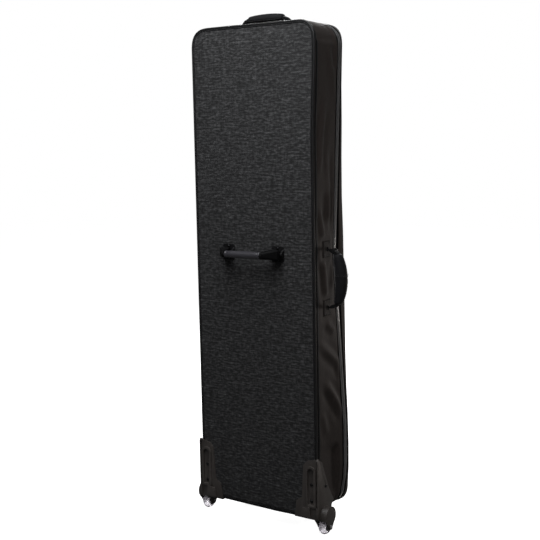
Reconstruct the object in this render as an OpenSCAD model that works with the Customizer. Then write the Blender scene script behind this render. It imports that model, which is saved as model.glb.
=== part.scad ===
// Wheeled padded bag for a stage piano, standing upright on its two wheels and two stand feet.
// +Z is up along the bag's length, the back panel with the wheels faces -Y, the lid faces +Y.
// The origin is the middle of the footprint box, on the floor.

/* [Bag] */
// Width of the bag across its back panel
bag_w = 404; // [360:1:440]
// Length of the bag, which stands upright
bag_h = 1380; // [1200:5:1500]
// Depth of the closed bag from back panel to lid
bag_d = 164; // [152:1:200]
// Radius of the bag's four corners
corner_r = 60; // [52:1:68]
// How far the empty bag's zip edge sags in beside the side handle
sag = 12; // [0:0.5:18]
// Height of the deepest sag over the bag's bottom
sag_up = 730; // [620:5:800]
// Distance from the back panel where the wall's slack starts
slack_in = 54; // [53:1:60]
// How far the zip edge bulges out above the corner guard
bulge = 18; // [0:0.5:20]
// Height over which the bulge grows, from the guard's wing upwards
bulge_run = 76; // [40:1:80]
// Height of the bulge's upper end over the bag's bottom
bulge_up = 250; // [225:5:320]
// How far the zip edge stands out at the top corner
flare = 12; // [0:0.5:14]

/* [Layers] */
// Thickness of the outer cover cloth
cover_t = 2; // [1.5:0.5:3]
// Thickness of the foam in walls and panels
foam_t = 12; // [9:1:15]
// Thickness of the stiffener board behind the back panel
board_t = 3.4; // [2.6:0.2:4.6]
// Thickness of the lining
lining_t = 1.5; // [1:0.5:2]
// Radius of the piping bead
piping_r = 3; // [2.5:0.5:3.5]
// Thickness of the piping's sewn flange
flange_t = 0.6; // [0.4:0.1:1]
// Width of the piping's sewn flange
flange_w = 9; // [6:1:10]

/* [Lid and zip] */
// Depth of the lid from the zip line to its outer face
lid_depth = 36; // [32:1:42]
// Open band between the two cloth edges along the zip
zip_gap = 20; // [16:1:24]
// Width of tape that is sewn under each cloth edge
tape_lap = 9; // [7:1:10]
// Thickness of the zip tape
tape_t = 1.4; // [1:0.2:2]
// Width of one row of teeth
teeth_w = 2.8; // [2.2:0.2:3.4]
// Height of the teeth over the tape
teeth_h = 2.2; // [1.8:0.2:2.6]
// Gap between the two rows of teeth
teeth_gap = 0.4; // [0.3:0.1:0.6]
// Radius of the cord in the cloth hinge
hinge_cord_r = 2.4; // [1.8:0.2:2.8]
// How far the hinge line stands out from the wall
hinge_out = 0.6; // [0.4:0.1:1]

/* [Zip sliders] */
// Length of a slider along the zip
slider_l = 22; // [18:1:26]
// Width of a slider across the zip
slider_w = 12; // [10:1:14]
// Thickness of a slider's plate
slider_t = 3; // [2.4:0.2:4]
// Gap between slider and teeth
slider_gap = 0.4; // [0.3:0.1:0.6]
// Distance between the two parked sliders, middle to middle
slider_pitch = 28; // [27:1:40]
// Diameter of the bar that a ring pull hangs on
bar_d = 1.6; // [1.4:0.2:2]
// Length of a ring pull
pull_l = 18; // [15:1:20]
// Width of a ring pull
pull_w = 9; // [8:1:11]
// Thickness of a ring pull
pull_t = 1.6; // [1.4:0.2:1.8]

/* [Lid pocket] */
// Width of the lid pocket
pocket_w = 300; // [220:5:320]
// Length of the lid pocket
pocket_h = 700; // [500:10:900]
// Thickness of the flat lid pocket
pocket_t = 10; // [7:1:14]
// Corner radius of the lid pocket
pocket_r = 40; // [25:1:60]
// Length of the pocket's zip
pocket_zip = 600; // [400:10:620]
// Distance of the pocket's zip from the pocket's edge
pocket_zip_in = 45; // [30:1:60]

/* [Wheels] */
// Diameter of a wheel over its tyre
wheel_d = 49; // [45:0.5:52]
// Width of a wheel
wheel_w = 25; // [22:0.5:26]
// Radius of a tyre's round crown
crown_r = 13; // [13:0.25:14]
// How far a wheel's middle stands outside the bag's side
wheel_out = 4; // [2:0.5:6]
// Distance of the wheel axle behind the back panel
wheel_in = 31.5; // [29:0.5:34]
// Diameter of a wheel's hub
hub_d = 30; // [27:0.5:33]
// Diameter of a wheel's axle
axle_d = 6; // [5:0.5:7]
// Diameter of a wheel's bearing
bearing_d = 16; // [14:0.5:19]
// Width of a wheel's bearing
bearing_w = 5; // [4:0.5:6]
// Running gap between bearing and axle, all round
run_gap = 0.05; // [0.03:0.01:0.08]
// Gap between wheel and housing at each side
wheel_side_gap = 1.5; // [1:0.25:2.5]
// Gap between tyre and housing arch
wheel_arch_gap = 3.5; // [2.5:0.25:5]

// Radius of the housing's cheeks round the axle
cheek_r = 9; // [8:0.5:12]
// Height of the cheeks' shoulders over the axle
cheek_up = 22; // [18:1:24]
// Radius of the housing's rounded head, on the guard's wing
head_r = 27; // [24:0.5:29]
// Height of the rounded head's middle over the axle
head_up = 31; // [28:1:34]

/* [Corner guards] */
// Thickness of a guard's plates
guard_t = 5; // [4:0.5:6]
// Thickness of the housing's cheeks and arch
cheek_t = 6; // [5:0.5:7]
// Height of a guard over the bag's bottom
guard_h = 176; // [150:1:200]
// Width of a guard on the back panel
guard_w = 50; // [44:1:56]
// Width of a guard's foot on the back panel
guard_foot_w = 75; // [70:1:85]
// Height of a guard's foot over the bag's bottom
guard_foot_h = 46; // [40:1:56]
// Depth of a guard's rounded corner piece behind the back panel
guard_corner_l = 66; // [62:1:70]
// Depth of a guard's base plate behind the back panel
guard_base_l = 60; // [54:1:64]
// Length of a guard's side wing at its tip, from the back panel
wing_l = 80; // [74:1:88]
// Height of the side wing's tip over the bag's bottom
wing_h = 36; // [30:1:46]
// How far the rim round a guard's recess stands out
rim_t = 4; // [3:0.5:6]
// Width of the rim round a guard's recess
rim_w = 7; // [6:0.5:8]
// Width of a guard's recess
recess_w = 21; // [17:0.5:22]
// Height of a guard's recess
recess_h = 106; // [90:1:112]
// Depth of a guard's recess below its plate
recess_t = 2.5; // [1.5:0.5:3]
// Height of a guard's recess over the bag's bottom
recess_z = 40; // [36:1:46]
// Width of the groove along a guard's corner edge
groove_w = 4; // [3:0.5:5]
// Width of the block on a guard's foot
block_w = 32; // [26:1:36]
// Height of the block on a guard's foot
block_h = 34; // [28:1:36]
// How far the block on a guard's foot stands out
block_t = 6; // [4:0.5:8]
// Distance between the two screws of a guard
guard_screw_pitch = 48; // [40:1:54]
// Diameter of the guard screws' heads
screw_head_d = 9; // [7:0.5:10]
// Height of the guard screws' heads
screw_head_t = 2.4; // [1.8:0.2:3]
// Diameter of the guard screws' shanks
screw_d = 4; // [3:0.5:5]

/* [Stand feet] */
// Distance of a stand foot's middle from the bag's side
foot_in = 92; // [80:1:120]
// Width of a stand foot at its sole
foot_w = 44; // [36:1:56]
// Length of a stand foot's sole, front to rear
foot_l = 34; // [28:1:44]
// Distance of a stand foot's rear edge from the lid's outer face
foot_rear_in = 12; // [8:1:20]
// Thickness of a stand foot's rubber pad
foot_pad_t = 6; // [4:0.5:8]
// Thickness of a stand foot's flange
foot_flange_t = 4; // [3:0.5:5]
// Length of a stand foot's flange, front to rear
foot_flange_l = 36; // [30:1:38]
// Width of a stand foot's flange at each side of the foot
foot_ear_w = 16; // [14:1:20]

/* [Top handle] */
// Distance of the top handle's middle from the back panel
top_back = 88; // [60:1:92]
// Half the distance between the top handle's ends
top_half = 78; // [70:1:90]
// Height of the top handle over the bag
top_rise = 37.5; // [34:0.5:42]
// Length of the top handle's grip
top_grip_l = 116; // [100:1:122]
// Thickness of the top handle's grip
top_grip_t = 24; // [20:0.5:26]
// Width of the top handle's grip
top_grip_w = 32; // [28:1:36]
// Height of the top grip's ends over the bag, at their middle
top_end_rise = 23.5; // [21:0.5:26]
// Thickness of the top grip's ends
top_end_t = 19; // [14:0.5:20]

/* [Side handle] */
// Distance of the side handle's middle from the back panel
side_back = 62; // [56:1:76]
// Half the distance between the side handle's ends
side_half = 82; // [78:1:96]
// Reach of the side handle from the bag's side
side_reach = 68; // [60:1:74]
// Thickness of the side handle's grip at its middle
side_grip_t = 39; // [24:0.5:42]
// Width of the side handle's grip
side_grip_w = 32; // [26:1:36]
// Length of the side handle's grip
side_grip_l = 142; // [120:1:150]
// Distance of the side grip's ends from the bag's side, at their middle
side_end_rise = 37; // [30:0.5:40]
// Thickness of the side grip's ends
side_end_t = 18; // [12:0.5:22]
// Distance of the side handle's middle below the bag's middle
side_drop = 12; // [-60:1:60]

/* [Webbing] */
// Thickness of the handles' webbing
web_t = 3; // [2.4:0.2:3.6]
// Width of the handles' webbing inside the grips
web_w = 20; // [16:1:22]
// Width of the webbing where it is gathered near its ends
web_neck_w = 9; // [7:1:10]
// Width of the webbing where it leaves its patch
web_root_w = 5.4; // [4.4:0.2:5.6]
// Width of the sewn handle patches
patch_w = 40; // [34:1:46]
// Length of the sewn handle patches
patch_l = 46; // [38:1:56]
// Thickness of the sewn handle patches
patch_t = 2.6; // [2:0.2:3.2]

/* [Panel handle] */
// Half the distance between the two brackets of the panel handle
panel_half = 84; // [80:1:100]
// Distance of the panel handle above the bag's middle
panel_lift = 56.5; // [0:0.5:100]
// Width of a bracket plate
bracket_w = 41; // [39:1:46]
// Height of a bracket plate
bracket_h = 45; // [40:1:52]
// Thickness of a bracket plate
bracket_t = 4; // [3:0.5:5]
// Thickness of a bracket's two lugs
lug_t = 6; // [5:0.5:7]
// Reach of the panel handle from the back panel
panel_reach = 64; // [50:1:76]
// Diameter of the panel handle's grip
panel_grip_d = 20.5; // [18:0.5:24]
// Length of the panel handle's grip
panel_grip_l = 120; // [100:1:122]
// Height of the panel handle's arms at their roots
arm_h = 28; // [22:1:29]
// Diameter of the panel handle's hinge pins
pin_d = 5; // [4:0.5:6]

/* [Tie straps] */
// Width of the tie straps inside the bag
tie_w = 38; // [30:1:50]
// Distance of a tie strap's ends from the bag's sides
tie_in = 52; // [46:1:80]
// Distance of each tie strap from the bag's middle
tie_off = 331; // [250:1:420]
// Thickness of the tie straps
tie_t = 2; // [1.4:0.2:2.6]
// Length of a tie strap's buckle
buckle_l = 64; // [54:1:74]
// Height of a tie strap's buckle
buckle_t = 9; // [7:0.5:11]

/* [Hidden] */
$fn = 48;
arc_steps = 8;
leg_steps = 6;
grip_steps = 14;
round_steps = 16;
eps = 0.01;
fit = 0.3;
seam_gap = 0.4;
touch = 0.05;

side_x = bag_w / 2;
front_y = -bag_d / 2;
rear_y = bag_d / 2;
wheel_r = wheel_d / 2;
bag_z = wheel_d + wheel_arch_gap - 0.5;
top_z = bag_z + bag_h;
mid_z = bag_z + bag_h / 2;
arc_x = side_x - corner_r;
low_z = bag_z + corner_r;
high_z = top_z - corner_r;
guard_top_z = bag_z + guard_h;
slack_under = 4;
start_z = bag_z + guard_h / 2 - slack_under;
full_z = start_z + bulge_run;
bulge_z = bag_z + bulge_up;
sag_z = bag_z + sag_up;
zip_y = rear_y - lid_depth;
cloth_low_y = zip_y - zip_gap / 2;
cloth_high_y = zip_y + zip_gap / 2;

// Layers behind the back panel, from the outside in
cover_in_y = front_y + cover_t;
board_y = cover_in_y + flange_t;
board_in_y = board_y + board_t;
foam_in_y = board_in_y + foam_t;
lining_in_y = foam_in_y + lining_t;
// Layers of the lid, from the outside in
lid_cover_y = rear_y - cover_t;
lid_foam_y = lid_cover_y - flange_t;
lid_foam_in_y = lid_foam_y - foam_t;
lid_lining_in_y = lid_foam_in_y - lining_t;
// Layers of the walls, as distances in from the outline
foam_n = -cover_t;
foam_in_n = foam_n - foam_t;
lining_in_n = foam_in_n - lining_t;
piping_n = -piping_r + 0.4;
panel_edge_n = piping_n - piping_r;
tape_n = -cover_t;
tape_in_n = tape_n - tape_t;
teeth_n = tape_n + teeth_h;
tape_low_y = cloth_low_y - tape_lap;
tape_high_y = cloth_high_y + tape_lap;
wall_foam_y = tape_low_y - 1;
sag_start_y = front_y + slack_in;
lid_seam_y = rear_y - cover_t - piping_r;
sag_run = cloth_low_y - sag_start_y;
sag_low_y = sag_start_y + sag_run / 3;
sag_high_y = sag_start_y + sag_run * 2 / 3;

// Places of the handles
top_y = front_y + top_back;
side_y = front_y + side_back;
side_z = mid_z - side_drop;
panel_z = mid_z + panel_lift;
web_round = 0.4;
web_r = web_t / 2 + web_round;
web_lift = patch_t + fit + web_r;
pin_out = 6;
pin_y = front_y - bracket_t - pin_out;
panel_grip_y = front_y - panel_reach + panel_grip_d / 2;

// Places of the wheels
wheel_x = side_x + wheel_out;
wheel_y = front_y + wheel_in;
well_half = wheel_w / 2 + wheel_side_gap;
house_half = well_half + cheek_t;
arch_r = wheel_r + wheel_arch_gap;
house_r = arch_r + cheek_t;
axle_head_t = 2;
groove_in = 2;
recess_x = side_x + guard_t - groove_in - groove_w - rim_w - recess_w / 2;

// Places of the stand feet and the pocket
foot_x = side_x - foot_in;
foot_front_in = 42;
foot_front_y = zip_y - foot_front_in;
foot_flange_y = foot_front_y + foot_flange_l / 2;
foot_lip = 2;
foot_screw_x = foot_w / 2 + foot_lip + foot_ear_w / 2;
foot_rear_y = rear_y - foot_rear_in;
pocket_y = rear_y + pocket_t;
pocket_zip_x = pocket_w / 2 - pocket_zip_in;
pocket_slider_z = mid_z - pocket_zip / 2 + slider_l;

// Eye of a ring pull, and the distance of its bar from the teeth
eye_wall = 1;
eye_r = bar_d / 2 + eye_wall;
bar_out = slider_gap + slider_t + eye_r + fit;

// The middle of the footprint box becomes the origin
reach_right = side_x + side_reach;
reach_left = wheel_x + house_half + axle_head_t;
reach_front = bag_d / 2 + panel_reach;
reach_rear = pocket_y + tape_t + teeth_h + bar_out + eye_r;
origin = [-(reach_right - reach_left) / 2, -(reach_rear - reach_front) / 2, 0];

// Share of the zip edge's shift at a depth: none at the back panel and the lid's rim, all of it along the zip
sag_rows = [
    [sag_start_y, 0],
    [sag_low_y, 0.2],
    [sag_high_y, 0.55],
    [cloth_low_y, 1],
    [cloth_high_y, 1],
    [lid_seam_y, 0]];
function sag_share(y) = lookup(y, sag_rows);

// Shift of the zip edge along the right side, outwards as positive
zip_line = [[start_z, 0], [full_z, bulge], [bulge_z, bulge], [sag_z, -sag], [high_z, flare]];
function zip_shift(z) = lookup(z, zip_line);
function leg(z0, z1, n) = [for (i = [1:n]) z0 + (z1 - z0) * i / n];

// Stations round the bag's outline: x, z, outward normal and shift of the zip edge
function arc_stations(cx, cz, start, shift) =
    [for (i = [0:arc_steps])
        let (a = start + 90 * i / arc_steps)
        [cx + corner_r * cos(a), cz + corner_r * sin(a), cos(a), sin(a), shift * pow(cos(a), 2)]];
right_z = concat(
    leg(low_z, start_z, 1),
    leg(start_z, full_z, 2),
    leg(full_z, bulge_z, 1),
    leg(bulge_z, sag_z, leg_steps),
    leg(sag_z, high_z, leg_steps));
right_run = [for (i = [0:len(right_z) - 2]) [side_x, right_z[i], 1, 0, zip_shift(right_z[i])]];
corner_tr = arc_stations(arc_x, high_z, 0, flare);
corner_tl = arc_stations(-arc_x, high_z, 90, 0);
corner_bl = arc_stations(-arc_x, low_z, 180, 0);
corner_br = arc_stations(arc_x, low_z, 270, 0);
outline = concat(right_run, corner_tr, corner_tl, corner_bl, corner_br);
zip_run = concat(corner_bl, corner_br, right_run, corner_tr, corner_tl);

// A band between two distances from the outline, with rows at the given depths
function band(n_in, n_out, ys) =
    concat(
        [for (y = ys) [n_out, y, sag_share(y)]],
        [for (i = [len(ys) - 1:-1:0]) [n_in, ys[i], sag_share(ys[i])]]);
// Depths of a wall's rows: its two edges and every depth between them where a layer ends or the sag turns
row_depths = [sag_start_y, sag_low_y, sag_high_y, wall_foam_y, tape_low_y, cloth_low_y,
    cloth_high_y, tape_high_y, lid_seam_y];
function rows(y0, y1) =
    concat([y0], [for (y = row_depths) if (y > y0 + eps && y < y1 - eps) y], [y1]);

// Sweep a profile of [distance, depth, sag share] points along stations
module sweep(stations, profile, closed = true) {
    m = len(profile);
    k = len(stations);
    points = [for (s = stations) for (p = profile)
        let (n = p[0] + s[4] * p[2])
        [s[0] + s[2] * n, p[1], s[1] + s[3] * n]];
    sides = [for (i = [0:closed ? k - 1 : k - 2]) for (j = [0:m - 1])
        let (
            a = i * m + j,
            b = i * m + (j + 1) % m,
            c = ((i + 1) % k) * m + (j + 1) % m,
            d = ((i + 1) % k) * m + j,
            onward = profile[(j + 1) % m][1] > profile[j][1])
        each onward ? [[a, c, b], [a, d, c]] : [[a, d, b], [b, d, c]]];
    far = (k - 1) * m;
    ends = closed ? [] : [for (j = [0:m / 2 - 2])
        each [
            [j, j + 1, m - 1 - j],
            [j + 1, m - 2 - j, m - 1 - j],
            [far + j + 1, far + j, far + m - 1 - j],
            [far + m - 2 - j, far + j + 1, far + m - 1 - j]]];
    polyhedron(points, concat(sides, ends));
}

// Flat plate with the bag's outline, set in by a distance, between two depths
module outline_plate(inset, y0, y1) {
    w = bag_w + 2 * inset;
    h = bag_h + 2 * inset;
    r = corner_r + inset;
    translate([0, y1, mid_z])
        rotate([90, 0, 0])
            linear_extrude(y1 - y0)
                rounded_rect(w, h, r);
}

module rounded_rect(w, h, r) {
    square([w - 2 * r, h], center = true);
    square([w, h - 2 * r], center = true);
    for (x = [-1, 1])
        for (z = [-1, 1])
            translate([x * (w / 2 - r), z * (h / 2 - r)])
                circle(r);
}

// Prism over an outline drawn in X and Z, between two depths
module xz_prism(y0, y1) {
    translate([0, y1, 0])
        rotate([90, 0, 0])
            linear_extrude(y1 - y0)
                children();
}

// Prism over an outline drawn in Y and Z, between two widths
module yz_prism(x0, x1) {
    translate([x0, 0, 0])
        rotate([90, 0, 90])
            linear_extrude(x1 - x0)
                children();
}

module along_x(x, y, z, d, l) {
    translate([x, y, z])
        rotate([0, 90, 0])
            cylinder(d = d, h = l, center = true);
}

module along_y(x, y, z, d, l) {
    translate([x, y, z])
        rotate([90, 0, 0])
            cylinder(d = d, h = l, center = true);
}

// Back panel

// Places of the screws that go through the back panel into the board
guard_screw_low = bag_z + recess_z + recess_w / 2;
guard_screw_z = [guard_screw_low + guard_screw_pitch, guard_screw_low];
guard_screw_x = recess_x;
module panel_screw_places() {
    for (s = [-1, 1]) {
        for (z = guard_screw_z)
            translate([s * guard_screw_x, front_y, z])
                children();
        for (d = [-1, 1])
            translate([s * panel_half, front_y, panel_z + d * bracket_screw_z])
                children();
    }
}

module panel_screw_holes() {
    panel_screw_places()
        rotate([90, 0, 0])
            cylinder(d = screw_d, h = 40, center = true);
}

module back_panel_cover() {
    color("#3a3a3c")
        difference() {
            outline_plate(panel_edge_n - seam_gap, front_y, cover_in_y);
            panel_screw_holes();
        }
}

module back_panel_board() {
    color("#1d1d1f")
        difference() {
            outline_plate(panel_edge_n - 1, board_y, board_in_y);
            panel_screw_holes();
        }
}

module back_panel_foam() {
    color("#55565a")
        difference() {
            outline_plate(foam_in_n - seam_gap, board_in_y, foam_in_y);
            panel_screw_holes();
        }
}

// Piping bead with its flange, at the back panel or mirrored at the lid
function bead(y0, dir) =
    [for (i = [0:7])
        let (a = 180 - 45 * i)
        [piping_n + piping_r * cos(a), y0 - dir * piping_r * sin(a), 0]];
function piping_profile(y_face, dir) =
    concat(
        bead(y_face, dir),
        [[panel_edge_n + 0.2, y_face + dir * flange_t, 0],
         [panel_edge_n - flange_w, y_face + dir * flange_t, 0],
         [panel_edge_n - flange_w, y_face, 0]]);

module panel_piping() {
    p = piping_profile(cover_in_y, 1);
    color("#131314")
        sweep(outline, p);
}

// Walls

module main_gusset() {
    ys = rows(cover_in_y + piping_r, cloth_low_y);
    color("#232221")
        sweep(outline, band(-cover_t, 0, ys));
}

module wall_foam(stations) {
    ys = rows(board_in_y, wall_foam_y);
    color("#5a5b5f")
        sweep(stations, band(foam_in_n, foam_n, ys), false);
}

module wall_foam_right() {
    wall_foam(concat([corner_br[arc_steps]], right_run, [corner_tr[0]]));
}

module wall_foam_left() {
    wall_foam([corner_tl[arc_steps], corner_bl[0]]);
}

module wall_foam_top() {
    wall_foam(concat(corner_tr, corner_tl));
}

module wall_foam_bottom() {
    wall_foam(concat(corner_bl, corner_br));
}

module base_lining() {
    ys = rows(foam_in_y, wall_foam_y);
    color("#2b2c30") {
        sweep(outline, band(lining_in_n, foam_in_n, ys));
        outline_plate(lining_in_n, foam_in_y, lining_in_y);
    }
}

// Zip

module base_zip_tape() {
    ys = rows(tape_low_y, zip_y - 0.6);
    color("#6b6c70")
        sweep(outline, band(tape_in_n, tape_n, ys));
}

module base_zip_teeth() {
    y1 = zip_y - teeth_gap / 2;
    color("#4a4b4e")
        sweep(zip_run, band(tape_n, teeth_n, [y1 - teeth_w, y1]), false);
}

module lid_zip_tape() {
    ys = rows(zip_y + 0.6, tape_high_y);
    color("#6b6c70")
        sweep(outline, band(tape_in_n, tape_n, ys));
}

module lid_zip_teeth() {
    y0 = zip_y + teeth_gap / 2;
    color("#4a4b4e")
        sweep(zip_run, band(tape_n, teeth_n, [y0, y0 + teeth_w]), false);
}

module hinge_cord() {
    color("#161617")
        translate([-side_x - hinge_out, zip_y, low_z])
            cylinder(r = hinge_cord_r, h = high_z - low_z);
}

// Slider lying along Z on a zip that faces +X, at the origin
module slider_body() {
    difference() {
        union() {
            translate([slider_gap, 0, 0])
                slider_plate();
            for (s = [-1, 1])
                translate([slider_gap + slider_t, s * (pull_w / 2 + 1.2), slider_l / 2 - 4])
                    slider_ear();
        }
        translate([slider_gap - eps, -0.8, -slider_l])
            cube([0.8, 1.6, slider_l * 2]);
    }
    along_y(bar_out, 0, slider_l / 2 - 4, bar_d, pull_w + 2.4);
}

module slider_plate() {
    yz_prism(0, slider_t)
        polygon([
            [-slider_w / 2, -slider_l / 2 + 5],
            [-slider_w / 2 + 3, -slider_l / 2],
            [slider_w / 2 - 3, -slider_l / 2],
            [slider_w / 2, -slider_l / 2 + 5],
            [slider_w / 2, slider_l / 2],
            [-slider_w / 2, slider_l / 2]]);
}

module slider_ear() {
    translate([-eps, -0.6, -2])
        cube([bar_out - slider_gap - slider_t + bar_d / 2 + 0.6, 1.2, 4]);
}

// Ring pull that hangs from a slider's bar
module ring_pull() {
    translate([bar_out, 0, slider_l / 2 - 4])
        difference() {
            union() {
                yz_prism(-pull_t / 2, pull_t / 2)
                    pull_outline();
                along_y(0, 0, 0, 2 * eye_r, pull_w);
            }
            along_y(0, 0, 0, bar_d + 2 * run_gap, pull_w + 4);
        }
}

module pull_outline() {
    difference() {
        union() {
            translate([-pull_w / 2, -pull_l + pull_w / 2])
                square([pull_w, pull_l - pull_w / 2]);
            translate([0, -pull_l + pull_w / 2])
                circle(d = pull_w);
        }
        translate([-pull_w / 2 + 2, -pull_l + pull_w / 2])
            square([pull_w - 4, pull_l - pull_w / 2 - 2.4]);
        translate([0, -pull_l + pull_w / 2])
            circle(d = pull_w - 4);
    }
}

// The zip leans in towards its deepest sag, and the sliders lean with it
upper_lean = atan((sag + flare) / (high_z - sag_z));
lower_lean = atan((sag + bulge) / (sag_z - bulge_z));
module on_side_zip(dir) {
    translate([side_x - sag + teeth_n, zip_y, sag_z])
        rotate([0, dir > 0 ? upper_lean : -lower_lean, 0])
            translate([0, 0, dir * slider_pitch / 2])
                children();
}

module zip_slider_upper() {
    color("#2c2d2f")
        on_side_zip(1)
            slider_body();
}

module zip_slider_lower() {
    color("#2c2d2f")
        on_side_zip(-1)
            slider_body();
}

module zip_pull_upper() {
    color("#8d8e90")
        on_side_zip(1)
            ring_pull();
}

module zip_pull_lower() {
    color("#8d8e90")
        on_side_zip(-1)
            ring_pull();
}

// Lid

module lid_cover() {
    color("#343436")
        outline_plate(panel_edge_n - seam_gap, lid_cover_y, rear_y);
}

module lid_piping() {
    p = piping_profile(lid_cover_y, -1);
    color("#131314")
        sweep(outline, [for (i = [len(p) - 1:-1:0]) p[i]]);
}

module lid_gusset() {
    ys = rows(cloth_high_y, lid_seam_y);
    color("#232221")
        sweep(outline, band(-cover_t, 0, ys));
}

module lid_foam() {
    color("#55565a")
        outline_plate(foam_in_n, lid_foam_in_y, lid_foam_y);
}

module lid_lining() {
    color("#2b2c30")
        outline_plate(foam_in_n, lid_lining_in_y, lid_foam_in_y);
}

// Lid pocket

module pocket_panel() {
    color("#303032")
        translate([0, pocket_y, mid_z])
            rotate([90, 0, 0])
                linear_extrude(pocket_t)
                    rounded_rect(pocket_w, pocket_h, pocket_r);
}

module pocket_zip_tape() {
    color("#6b6c70")
        xz_prism(pocket_y, pocket_y + tape_t)
            translate([pocket_zip_x - zip_gap / 2, mid_z - pocket_zip / 2])
                square([zip_gap, pocket_zip]);
}

module pocket_zip_teeth() {
    color("#4a4b4e")
        xz_prism(pocket_y + tape_t, pocket_y + tape_t + teeth_h)
            translate([pocket_zip_x - teeth_w, mid_z - pocket_zip / 2 + 4])
                square([2 * teeth_w, pocket_zip - 8]);
}

module on_pocket_zip() {
    translate([pocket_zip_x, pocket_y + tape_t + teeth_h, pocket_slider_z])
        rotate([0, 0, 90])
            children();
}

module pocket_slider() {
    color("#2c2d2f")
        on_pocket_zip()
            slider_body();
}

module pocket_pull() {
    color("#8d8e90")
        on_pocket_zip()
            ring_pull();
}

// Wheels, drawn at the right and mirrored to the left

// Round tyre, as on an inline skate
module wheel_tyre() {
    translate([wheel_x, wheel_y, wheel_r])
        rotate([0, 90, 0])
            rotate_extrude()
                intersection() {
                    translate([wheel_r - crown_r, 0])
                        circle(crown_r);
                    translate([hub_d / 2 + touch, -wheel_w / 2])
                        square([wheel_r, wheel_w]);
                }
}

module wheel_hub() {
    difference() {
        along_x(wheel_x, wheel_y, wheel_r, hub_d, wheel_w - 1);
        along_x(wheel_x, wheel_y, wheel_r, axle_d + 3, wheel_w + 2);
        for (s = [-1, 1])
            along_x(wheel_x + s * wheel_w / 2, wheel_y, wheel_r, bearing_d, 2 * bearing_w);
        for (s = [-1, 1])
            translate([wheel_x + s * wheel_w / 2, wheel_y, wheel_r])
                rotate([0, 90, 0])
                    difference() {
                        cylinder(d = hub_d - 4, h = 4, center = true);
                        cylinder(d = bearing_d + 4, h = 5, center = true);
                    }
    }
}

module wheel_bearings() {
    for (s = [-1, 1])
        difference() {
            along_x(wheel_x + s * (wheel_w - bearing_w) / 2, wheel_y, wheel_r, bearing_d, bearing_w);
            along_x(wheel_x, wheel_y, wheel_r, axle_d + 2 * run_gap, wheel_w + 2);
        }
}

module wheel_axle() {
    along_x(wheel_x, wheel_y, wheel_r, axle_d, 2 * house_half);
    along_x(wheel_x + house_half + axle_head_t / 2, wheel_y, wheel_r, axle_d + 5, axle_head_t);
}

module wheel_tyre_right() {
    color("#9a979a")
        wheel_tyre();
}

module wheel_tyre_left() {
    color("#9a979a")
        mirror([1, 0, 0])
            wheel_tyre();
}

module wheel_hub_right() {
    color("#6f6f72")
        wheel_hub();
}

module wheel_hub_left() {
    color("#6f6f72")
        mirror([1, 0, 0])
            wheel_hub();
}

module wheel_bearings_right() {
    color("#b8b9bb")
        wheel_bearings();
}

module wheel_bearings_left() {
    color("#b8b9bb")
        mirror([1, 0, 0])
            wheel_bearings();
}

module wheel_axle_right() {
    color("#c6c7c9")
        wheel_axle();
}

module wheel_axle_left() {
    color("#c6c7c9")
        mirror([1, 0, 0])
            wheel_axle();
}

// Corner guards

// Cut corners of the front face at its head, its neck and its foot
head_cut_w = 18;
head_cut_h = 10;
neck_cut_w = 6;
neck_cut_h = 24;
foot_step_w = 7;
foot_step_h = 12;

// Corners of the wing on the bag's side, and the slopes of the rim in front
wing_head_l = 17;
wing_head_h = 14;
wing_mid_l = 52;
wing_mid_h = 7;
wing_tip_cut = 12;
wing_base_cut = 14;
rim_head_slope = 6;
rim_foot_slope = 8;
wing_screw_l = 36;
wing_screw = [front_y + wing_screw_l, bag_z + guard_h / 2];
module guard_front_outline() {
    polygon([
        [side_x + guard_t, bag_z + guard_h],
        [side_x - guard_w + head_cut_w, bag_z + guard_h - head_cut_h],
        [side_x - guard_w + neck_cut_w, bag_z + guard_h - neck_cut_h],
        [side_x - guard_w, bag_z + guard_foot_h + foot_step_h],
        [side_x - guard_foot_w + foot_step_w, bag_z + guard_foot_h],
        [side_x - guard_foot_w, bag_z - guard_t / 2],
        [side_x + guard_t, bag_z - guard_t / 2]]);
}

module guard_wing_outline() {
    polygon([
        [front_y - guard_t - rim_t, bag_z + guard_h - rim_head_slope],
        [front_y - guard_t, bag_z + guard_h],
        [front_y + wing_head_l, bag_z + guard_h - wing_head_h],
        [front_y + wing_mid_l, bag_z + guard_h / 2 - wing_mid_h],
        [front_y + wing_l, bag_z + wing_h],
        [front_y + wing_l - wing_tip_cut, bag_z + wing_h - wing_tip_cut],
        [front_y + wing_l - wing_base_cut, bag_z - guard_t / 2],
        [front_y - guard_t, bag_z - guard_t / 2],
        [front_y - guard_t - rim_t, bag_z + rim_foot_slope]]);
}

// Arch-topped outline of the recess, grown by a rim
module recess_outline(grow) {
    r = recess_w / 2;
    translate([recess_x - r - grow, bag_z + recess_z - grow])
        square([recess_w + 2 * grow, recess_h - r + grow]);
    translate([recess_x, bag_z + recess_z + recess_h - r])
        circle(r + grow);
}

// Groove along the corner edge, between the recess's rim and the wing's rib
module corner_groove() {
    xz_prism(front_y - guard_t - rim_t - 1, front_y - guard_t + recess_t)
        translate([recess_x + recess_w / 2 + rim_w, bag_z + block_h])
            square([groove_w, guard_h - block_h - 6]);
}

// Room for the piping that runs round the back panel
module piping_groove() {
    out = piping_n + piping_r + 2 * touch;
    edge = panel_edge_n - seam_gap;
    xz_prism(cover_in_y - piping_r - 2 * touch, cover_in_y + piping_r + 2 * touch)
        translate([0, mid_z])
            difference() {
                rounded_rect(bag_w + 2 * out, bag_h + 2 * out, corner_r + out);
                rounded_rect(bag_w + 2 * edge, bag_h + 2 * edge, corner_r + edge);
            }
}

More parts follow.
